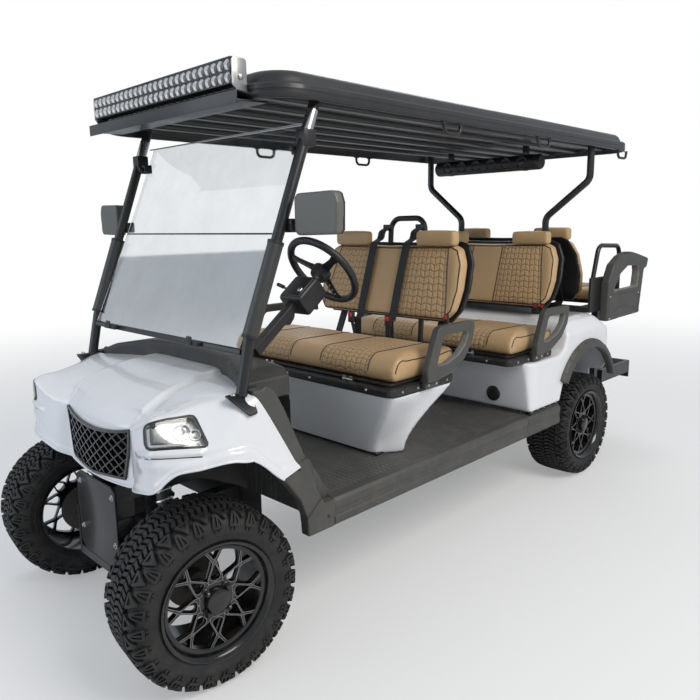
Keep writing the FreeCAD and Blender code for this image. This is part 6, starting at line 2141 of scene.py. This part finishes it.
        angle_bar = carved(prism("angle", Axis.X, angle_side, -500, 500),
                           [block("roof room", (-600, 600), (261.7, 400), (1820, 1900))])
        under = prism("under", Axis.X, [(200, 1816), (330, 1822), (330, 1827.7), (200, 1822)], -480, 480)
        dressed(joined("lamp bar shelf", [coloured(bevelled(angle_bar, 1.0, 2), BLACK_COAT),
                                             coloured(bevelled(under, 1.0, 2), BLACK_COAT)]),
                BLACK_COAT, stands_for=["light_bar_bracket"])

    def windshield(self) -> None:
        """Bottom bar, thin rods over the lower pane and at the top, latches and clips."""
        bar_side = [(154, 1034), (170, 1034), (174, 1051.5), (158, 1051.5)]
        parts = [coloured(bevelled(prism("bar", Axis.X, bar_side, -511.5, 511.5), 3.0, 2), BLACK_COAT)]
        for x in (-350.0, 250.0):
            parts.append(slab(BLACK_PLASTIC, "latch", (x - 45, x + 45), (138, 158), (1036, 1056), 5.0, 3))
            parts.append(slab(BLACK_PLASTIC, "lever", (x - 14, x + 14), (133, 140), (1040, 1070), 2.5))
        for side in (-1, 1):
            xs = sorted((side * 484, side * 520))
            parts.append(slab(BLACK_PLASTIC, "clip", xs, (420, 460), (1668, 1704), 4.0))
            knob = lathe("knob", [(0, 0), (0, 11), (9, 10), (12, 6), (12, 0)], 20)
            knob.data.transform(Matrix.Translation(at(side * 502, 414, 1686)) @ Matrix.Rotation(math.radians(-90), 4,
                                                                                                "Z"))
            parts.append(coloured(knob, BLACK_PLASTIC))
        thin_rod = tube("middle rod", [(-497, 327, 1411.6), (497, 327, 1411.6)], 3.2, BLACK_COAT, 0, 12)
        parts.append(tube("top rod", [(-508, 468, 1770), (508, 462, 1766)], 3.0, STEEL, 0, 12))
        dressed(joined("windshield fittings", [*parts, thin_rod]), BLACK_COAT, stands_for=["windshield_bar"])

    def mirrors(self) -> None:
        """Rounded mirror heads with a black rim and glass, arms and clamps."""
        outline = [(593, 1420), (604, 1406), (762, 1409), (774, 1422), (776, 1505), (766, 1534), (752, 1541),
                   (606, 1538), (593, 1524)]
        head = coloured(moulded(prism("head", Axis.Y, outline, 330, 364), 5.0, 7), MIRROR_BACK)
        rim = coloured(bevelled(band("rim", Axis.Y, inset(outline, 1.0), 9.0, 358, 371), 2.5, 2), BLACK_PLASTIC)
        glass = coloured(prism("glass", Axis.Y, inset(outline, 9.0), 362, 366), MIRROR)
        turn = pivot(at(600, 350, 1470), 4, Axis.Z)
        for piece in (head, rim, glass):
            piece.data.transform(turn)
        arm = tube("arm", [(566, 354, 1438), (596, 356, 1440), (640, 366, 1446)], 9.5, BLACK_PLASTIC, 12)
        clamp = slab(BLACK_PLASTIC, "clamp", (520, 574), (336, 378), (1416, 1460), 6.0, 3)
        dressed(pair(joined("mirror heads", [head, rim, glass, arm, clamp])), TRIM, stands_for=["mirrors"],
                angle=45.0)

    def sound_bar(self) -> None:
        """Round speaker bar with drivers and end caps."""
        x, y, z = 350.0, 2330.0, self.low - 66
        profile = [(-x, 0), (-x, 34), (-x + 6, 40), (-x + 14, 42), (-x + 16, 40.5), (-x + 20, 40.5), (-x + 22, 42),
                   (x - 22, 42), (x - 20, 40.5), (x - 16, 40.5), (x - 14, 42), (x - 6, 40), (x, 34), (x, 0)]
        body = lathe("bar", profile, 48)
        body.data.transform(Matrix.Translation(at(0, y, z)))
        parts = [coloured(body, BLACK_PLASTIC)]
        drivers = []
        for k in range(6):
            ring = lathe("driver", [(0, 0), (0, 26), (2.5, 27), (3.5, 30), (0, 32), (-4, 32), (-4, 0)], 32)
            ring.data.transform(Matrix.Translation(at(-250 + 100 * k, y - 40, z)) @ Matrix.Rotation(math.radians(-90),
                                                                                                    4, "Z"))
            drivers.append(coloured(ring, BLACK_COAT))
        hangers = [slab(BLACK_COAT, "hanger", (hx - 15, hx + 15), (2318, 2342), (z + 26, 1847.6),
                        2.0) for hx in (-252.0, 252.0)]
        straps = [coloured(arc_sweep("strap", [(hx - 12, 41), (hx + 12, 41), (hx + 12, 44), (hx - 12, 44)], y, z, 0,
                                     359.9),
                           BLACK_COAT) for hx in (-252.0, 252.0)]
        dressed(joined("speaker bar", parts + drivers + hangers + straps), BLACK_PLASTIC, stands_for=["sound_bar"])


# Seats

@dataclass
class Seats:
    """Cushions, backs, headrests, shells and belts."""

    lean: float = 112.0 / 360.0
    back_low: float = 985.0
    back_high: float = 1345.0
    back_half: float = 460.0
    seam_inner: float = 100.0
    seam_bench: float = 390.0
    seam_rear: float = 360.0
    swell_frames: int = 20
    fronts: tuple[tuple[float, float, int], ...] = ((1358.0, 0.0, 1), (2238.0, 18.0, 1), (2762.0, 0.0, -1))

    def outline(self, grow: float) -> list[Point2]:
        """Half outline of a seat back as (x, height)."""
        half, low, high = self.back_half, self.back_low, self.back_high
        return [(0, low - grow), (half - 60, low - grow), (half - 14, low + 50), (half + grow, low + 150),
                (half - 10 + grow, high - 90), (half - 45, high - 18 + grow), (half - 90, high + grow),
                (0, high - 6 + grow)]

    def leaned(self, obj: Object) -> Object:
        """Lean a back that was built upright, about its foot."""
        for vert in obj.data.vertices:
            vert.co.y += (vert.co.z * MM - self.back_low + 40) * self.lean / MM
        obj.data.update()
        return outward(obj)

    def seated(self, obj: Object, place: tuple[float, float, int], name: str) -> Object:
        """Copy of a back piece at one bench: its front face's station, its drop and the way it faces."""
        front, drop, way = place
        move = Matrix.Translation(Vector((0.0, (front + SHIFT) / MM, -drop / MM)))
        if way < 0:
            move = move @ Matrix.Scale(-1.0, 4, Vector((0, 1, 0)))
        return placed_copy(obj, move, name)

    def puffed(self, obj: Object, voxel: float, cap: float, hold: Callable[[Vector], float],
               pressure: float = 4.0) -> Object:
        """Swell a closed cloth form by simulation, holding it along its seams.

        Args:
            obj: Slightly smaller start form.
            voxel: Mesh size in millimetres.
            cap: Furthest that a point may move, in millimetres.
            hold: How firmly a point is held, from 0 to 1, by its place in millimetres.
            pressure: Pressure of the simulation.
        """
        remesh = obj.modifiers.new("even", "REMESH")
        remesh.mode = "VOXEL"
        remesh.voxel_size = voxel / MM
        settle(obj)
        start = np.empty(len(obj.data.vertices) * 3)
        obj.data.vertices.foreach_get("co", start)
        start = start.reshape(-1, 3)
        group = obj.vertex_groups.new(name="held")
        for index, place in enumerate(start):
            weight = hold(Vector(place) * MM)
            if weight > 0.02:
                group.add([index], weight, "REPLACE")
        cloth = obj.modifiers.new("swell", "CLOTH")
        cloth.settings.use_pressure = True
        cloth.settings.uniform_pressure_force = pressure
        cloth.settings.effector_weights.gravity = 0.0
        cloth.settings.quality = 4
        cloth.settings.tension_stiffness = 12.0
        cloth.settings.compression_stiffness = 12.0
        cloth.settings.shear_stiffness = 6.0
        cloth.settings.vertex_group_mass = "held"
        cloth.collision_settings.use_collision = False
        cloth.point_cache.frame_start = 1
        cloth.point_cache.frame_end = self.swell_frames
        scene = bpy.context.scene
        for frame in range(1, self.swell_frames + 1):
            scene.frame_set(frame)
        settle(obj)
        scene.frame_set(1)
        after = np.empty(len(obj.data.vertices) * 3)
        obj.data.vertices.foreach_get("co", after)
        after = after.reshape(-1, 3)
        moved = after - start
        length = np.linalg.norm(moved, axis=1, keepdims=True)
        limit = np.minimum(1.0, (cap / MM) / np.maximum(length, 1e-9))
        obj.data.vertices.foreach_set("co", (start + moved * limit).ravel())
        obj.data.update()
        return obj

    def mapped(self, obj: Object, place: Callable[[Vector], Point2]) -> Object:
        """Give the piece the cloth map that its stitching follows."""
        layer = obj.data.uv_layers.new(name="cloth")
        spots = [place(station(v.co)) for v in obj.data.vertices]
        values = [c for loop in obj.data.loops for c in spots[loop.vertex_index]]
        layer.data.foreach_set("uv", values)
        return obj

    def finished(self, obj: Object) -> Object:
        """One subdivision and a light smoothing."""
        soften = obj.modifiers.new("soften", "SMOOTH")
        soften.iterations = 2
        soften.factor = 0.4
        fine = obj.modifiers.new("fine", "SUBSURF")
        fine.levels = 1
        fine.render_levels = 1
        return settle(obj)

    def build(self) -> None:
        """All seat pieces."""
        self.backs()
        self.cushions()
        self.shells()
        self.belts()

    def seam(self, z: float) -> float:
        """Place across of a back's slanted outer seam at a height."""
        return follow(((985, 410), (1100, 392), (1228, 367), (1345, 350)), z)

    def backs(self) -> None:
        """Three leaning backs with two headrest pads each."""
        shrink = 9.0
        form = prism("back form", Axis.Y, inset(both(self.outline(0)), shrink), 10 - SHIFT, 70 - SHIFT)

        def hold(p: Vector) -> float:
            """How firmly a back is held: its rear and the lines of its seams."""
            seam = min(abs(abs(p.x) - self.seam(p.z)), abs(abs(p.x) - self.seam_inner))
            return 1.0 if p.y > 55 else math.exp(-(seam / SEAM_HOLD) ** 2)
        swollen = self.puffed(bevelled(form, 14.0, 3), 9.0, 14.0, hold)
        swollen = self.finished(self.leaned(swollen))
        pad = bevelled(block("pad form", (-389.0, -160.0), (4 - SHIFT, 60 - SHIFT), (1332, 1404)), 16.0, 4)
        pad = self.puffed(pad, 7.0, 9.0, lambda p: 1.0 if p.z < 1344 or p.y > 52 else 0.0, 3.0)
        pad = self.finished(pad)
        for vert in pad.data.vertices:
            vert.co.y += 110 / MM
        pads = [pad, mirrored(pad, "pad form")]

        def wrap(p: Vector) -> Point2:
            """Place of a back's point on the cloth map, stretched to the slanted seam."""
            outer = self.seam(p.z)
            size = abs(p.x)
            warped = size if size < 100 else 100 + (size - 100) * 290.0 / max(1.0, outer - 100)
            return (math.copysign(warped, p.x) / MM, p.z / 0.956 / MM)
        for index, place in enumerate(self.fronts):
            name = ("front", "middle", "rear")[index]
            back = self.seated(swollen, place, f"{name} seat back")
            self.mapped(back, lambda p, d=place[1]: wrap(Vector((p.x, p.y, p.z + d))))
            coloured(back, TAN)
            dressed(back, TAN, stands_for=["seat_backs"], angle=80.0)
            for side, pad in zip(("right", "left"), pads):
                rest = coloured(self.seated(pad, place, f"{name} headrest {side}"), TAN_PLAIN)
                dressed(rest, TAN_PLAIN, stands_for=["seat_backs"], angle=80.0)
            self.back_piping(back, place, name)
        remove(swollen, *pads)

    def back_piping(self, back: Object, place: tuple[float, float, int], name: str) -> None:
        """Piping round the back and along its four seams, laid on the swollen surface."""
        front, drop, way = place
        tree = surface_of(back)
        parts = []
        for sign in (-1, 1):
            for kind in ("outer", "inner"):
                spots = []
                for k in range(40):
                    z = 996 + (1332 - 996) * k / 39
                    x = sign * (self.seam(z) if kind == "outer" else self.seam_inner)
                    start = at(x, front - way * CAST_FROM, z - drop)
                    hit, _, _, _ = tree.ray_cast(start, Vector((0, way, 0)), CAST_REACH)
                    if hit:
                        spots.append(tuple(station(hit) + Vector((0, -way * 0.5, 0))))
                if len(spots) > 4:
                    parts.append(tube("piping", spots, PIPING_RADIUS, PIPING, 0, 8))
        spots = []
        for x, z in dense(inset(both(self.outline(0)), 19.0), 14.0):
            hit, _, _, _ = tree.ray_cast(at(x, front - way * CAST_FROM, z - drop), Vector((0, way, 0)), CAST_REACH)
            if hit:
                spots.append(tuple(station(hit) + Vector((0, -way * 0.8, 0))))
        parts.append(tube("edge piping", [*spots, spots[0]], EDGE_PIPING_RADIUS, PIPING, 0, 8))
        dressed(joined(f"{name} back piping", parts), PIPING, angle=60.0)

    def cushions(self) -> None:
        """Three swollen seat cushions on their pans."""
        bench = self.finished(self.puffed(self.bench_form(), 9.0, 16.0, self.bench_hold))
        middle = placed_copy(bench, Matrix.Translation(Vector((0, 0.880, -0.018))), "middle cushion")
        rear = self.rear_form()
        rows = ((bench, "front cushion", "front_seat_lid", "front_cushion", 880.0, 0.0, 1),
                (middle, "middle cushion", "middle_seat_lid", "middle_cushion", 1760.0, 18.0, 1),
                (rear, "rear cushion", "rear_seat_flap", "rear_cushion", 2776.0, 0.0, -1))
        for obj, name, body, node, y0, drop, way in rows:
            obj.name = name
            self.mapped(obj, lambda p, w=way: (p.x / MM, (p.y * w + p.z) / MM))
            coloured(obj, TAN)
            dressed(obj, TAN, body, [node], 80.0)
            z0 = 795.3 - drop if way > 0 else 952.6
            depth = (y0 - 20, y0 + 422) if way > 0 else (2770, 3150)
            wide = 530 if way > 0 else 490
            plan = rounded(wide, depth[0], depth[1], 30)
            levels = [[at(x, y, z) for x, y in ring] for z, ring in
                      ((z0, inset(plan, 3)), (z0 + 3, plan), (z0 + 10, plan), (z0 + 13, inset(plan, 3)))]
            pan = coloured(rings(f"{name} pan", levels), SHELL)
            dressed(pan, SHELL, body)
            self.cushion_piping(obj, name, body, way)

    def bench_form(self) -> Object:
        """Start form of the front bench's cushion."""
        profile = [(888, 808.6), (882, 852.6), (906, 898), (934, 912), (1278, 908), (1300, 880), (1300, 808.6)]
        return bevelled(prism("cushion form", Axis.X, profile, -530, 530), 18.0, 3)

    def seam_hold(self, x: float, outer: float) -> float:
        """How firmly a cushion's top is held at a place across, by its distance from the seams."""
        return math.exp(-(min(abs(abs(x) - self.seam_inner), abs(abs(x) - outer)) / SEAM_HOLD) ** 2)

    def bench_hold(self, p: Vector) -> float:
        """How firmly a bench cushion is held: its foot and the lines of its seams."""
        return 1.0 if p.z < 816 else self.seam_hold(p.x, self.seam_bench)

    def rear_form(self) -> Object:
        """Swollen rear-facing cushion."""
        z0 = 966.0
        profile = [(2784, z0), (2784, z0 + 56), (2804, z0 + 72), (3116, z0 + 76), (3140, z0 + 56), (3146, z0)]
        form = bevelled(prism("rear cushion form", Axis.X, profile, -470, 470), 16.0, 3)
        return self.finished(self.puffed(form, 9.0, 12.0, self.rear_hold))

    def rear_hold(self, p: Vector) -> float:
        """How firmly the rear cushion is held: its foot and the lines of its seams."""
        return 1.0 if p.z < 973 else self.seam_hold(p.x, self.seam_rear)

    def cushion_piping(self, obj: Object, name: str, body: str, way: int) -> None:
        """Piping along the seams over the top and down the front of a cushion."""
        tree = surface_of(obj)
        low = [min(v.co[i] for v in obj.data.vertices) * MM for i in range(3)]
        high = [max(v.co[i] for v in obj.data.vertices) * MM for i in range(3)]
        outer = self.seam_bench if way > 0 else self.seam_rear
        middle = Vector((0.0, (low[1] + high[1]) / 2, low[2] + 25))
        parts = []
        end = high[0] - 9.0
        for x in (-end, -outer, -self.seam_inner, self.seam_inner, outer, end):
            spots = []
            for k in range(60):
                angle = math.radians(4 + 172 * k / 59)
                aim = Vector((0.0, -math.cos(angle), math.sin(angle)))
                start = Vector((x, middle.y, middle.z)) + aim * 400
                hit, _, _, _ = tree.ray_cast(start / MM, -aim, 0.5)
                if hit:
                    spots.append(tuple(station(hit) + aim * 0.6))
            if len(spots) > 4:
                parts.append(tube("piping", spots, PIPING_RADIUS, PIPING, 0, 8))
        dressed(joined(f"{name} piping", parts), PIPING, body, angle=60.0)

    def shells(self) -> None:
        """Black moulded shells behind the backs."""
        form = prism("shell form", Axis.Y, both(self.outline(7)), 79 - SHIFT, 99 - SHIFT)
        shell = moulded(form, 6.0, 5)
        dish = []
        for x in (-230.0, 0.0, 230.0):
            dish.append(bevelled(block("rib", (x - 12, x + 12), (96 - SHIFT, 100 - SHIFT), (1030, 1300)), 1.8, 2))
        shell = self.leaned(joined("shell", [shell, *dish]))
        for index, place in enumerate(self.fronts):
            name = ("front", "middle", "rear")[index]
            piece = coloured(self.seated(shell, place, f"{name} seat shell"), SHELL)
            dressed(piece, SHELL, stands_for=["seat_shells"], angle=45.0)
        remove(shell)

    def belts(self) -> None:
        """Shoulder straps down the front back, with adjusters and the red buckles on their stalks."""
        face = 1358.0

        def front_at(z: float) -> float:
            """Station of the front back's face at a height."""
            return face + (z - self.back_low + 40) * self.lean
        route = [(1350, 800), (1346, 960), (front_at(985) - 7, 985), (front_at(1100) - 9, 1100),
                 (front_at(1230) - 9, 1230), (front_at(1330) - 6, 1332), (front_at(1345) + 6, 1350),
                 (front_at(1345) + 40, 1366), (1540, 1402), (1591, 1421)]
        path = flowing(route, 6)
        parts = []
        levels = []
        for k, (y, z) in enumerate(path):
            y_next, z_next = path[min(k + 1, len(path) - 1)]
            y_last, z_last = path[max(k - 1, 0)]
            along = Vector((y_next - y_last, z_next - z_last)).normalized()
            off = Vector((-along.y, along.x)) * 1.1
            levels.append([at(84.5, y + off.x, z + off.y), at(131.5, y + off.x, z + off.y),
                           at(131.5, y - off.x, z - off.y), at(84.5, y - off.x, z - off.y)])
        parts.append(coloured(rings("strap", levels), BELT))
        adjuster = bevelled(block("adjuster", (80, 136), (1574, 1592), (1404, 1436)), 3.0, 2)
        parts.append(coloured(adjuster, BLACK_PLASTIC))
        stalk = tube("stalk", [(104, 1348, 806), (118, 1330, 900), (124, 1318, 962)], 8.0, BLACK_PLASTIC, 20, 12)
        head = bevelled(block("buckle", (106, 142), (1306, 1326), (950, 1004)), 5.0, 3)
        button = bevelled(block("button", (111, 137), (1302, 1310), (980, 1000)), 2.5, 2)
        parts += [stalk, coloured(head, BLACK_PLASTIC), coloured(button, RED_BUTTON)]
        for bench, drop, x, z in ((0.0, 0.0, 436.0, 1012.0), (880.0, 18.0, 398.0, 996.0), (880.0, 18.0, 436.0, 996.0)):
            y = front_at(z) + bench - 17
            hanging = bevelled(block("hanging buckle", (x - 12, x + 12), (y - 9, y + 5),
                                     (z - 26 - drop, z + 22 - drop)), 4.0, 3)
            release = bevelled(block("release", (x - 8, x + 8), (y - 12, y - 6), (z - 2 - drop, z + 16 - drop)), 2.0, 2)
            parts += [coloured(hanging, BLACK_PLASTIC), coloured(release, RED_BUTTON)]
        dressed(pair(joined("shoulder belts", parts)), BELT, stands_for=["seat_belts"], angle=40.0)


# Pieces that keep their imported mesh

@dataclass
class KeptNodes:
    """Finishes and softened edges for the nodes that show as they were packed."""

    rows: tuple[tuple[str, str, float], ...] = (
        ("frame_rails", "coat", 3.0), ("front_suspension", "coat", 2.0), ("rear_axle", "cast", 3.0),
        ("battery_block", "battery", 4.0), ("footplate", "coat", 2.0), ("floor_panel", "mat", 0.0),
        ("tail_lamps", "red", 0.0), ("pedals", "coat", 1.5), ("seat_supports", "coat", 1.5),
        ("rear_seat_frame", "coat", 1.5), ("knuckle_left", "cast", 2.0), ("knuckle_right", "cast", 2.0),
        ("springs", "cast", 1.0), ("windshield_panes", "clear", 0.0))
    finishes: dict[str, Finish] = field(default_factory=lambda: {
        "coat": BLACK_COAT, "cast": CAST, "battery": BATTERY, "mat": MAT, "red": RED_LENS, "clear": CLEAR})

    turns: float = 6.5
    steps: int = 16
    coil_radius: float = 30.0
    wire_radius: float = 5.5
    damper_radius: float = 14.0
    seat_radius: float = 38.0

    def build(self, nodes: dict[str, Object]) -> None:
        """Assign the finishes."""
        for name, key, edge in self.rows:
            node = nodes[name]
            node.data.materials.clear()
            node.data.materials.append(self.finishes[key].material())
            if edge:
                soft = node.modifiers.new("soft edges", "BEVEL")
                soft.width = edge / MM
                soft.segments = 2
                soft.limit_method = "ANGLE"
                soft.angle_limit = math.radians(50.0)
        self.coils()

    def coils(self) -> None:
        """Chrome coil springs round the front dampers."""
        foot, head = Vector((312, 0, 252)), Vector((238, 0, 627))
        along = (head - foot).normalized()
        side = along.cross(Vector((0, 1, 0))).normalized()
        out = along.cross(side)
        spots = []
        turns, steps = self.turns, self.steps
        for k in range(int(turns * steps) + 1):
            t = k / (turns * steps)
            angle = 2 * math.pi * turns * t
            p = foot + along * (134 + 214 * t) + (side * math.cos(angle) + out * math.sin(angle)) * self.coil_radius
            spots.append(tuple(p))
        coil = tube("coil", spots, self.wire_radius, CHROME, 0, 10)
        body = tube("damper", [tuple(foot + along * 6), tuple(foot + along * 365)], self.damper_radius, MACHINED,
                    0, 24)
        seats = [tube("spring seat", [tuple(foot + along * d), tuple(foot + along * (d + 6))], self.seat_radius, CHROME,
                      0, 32)
                 for d in (124, 352)]
        dressed(pair(joined("coil springs", [coil, body, *seats])), CHROME, angle=40.0)


def main() -> None:
    """Load the frame, dress the cart and put up the studio."""
    logging.basicConfig(level=logging.INFO, format="%(relativeCreated)d ms %(message)s")
    for leftover in list(bpy.data.objects):
        bpy.data.objects.remove(leftover)
    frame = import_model()
    for name, step in (("wheels", Wheel().build), ("cowl", Cowl().build), ("cabin", Cabin().build),
                       ("body", Body().build), ("canopy", Canopy().build), ("seats", Seats().build),
                       ("kept nodes", lambda: KeptNodes().build(frame["nodes"])), ("studio", Studio().build)):
        step()
        LOG.info("%s done", name)


if __name__ == "__main__":
    main()
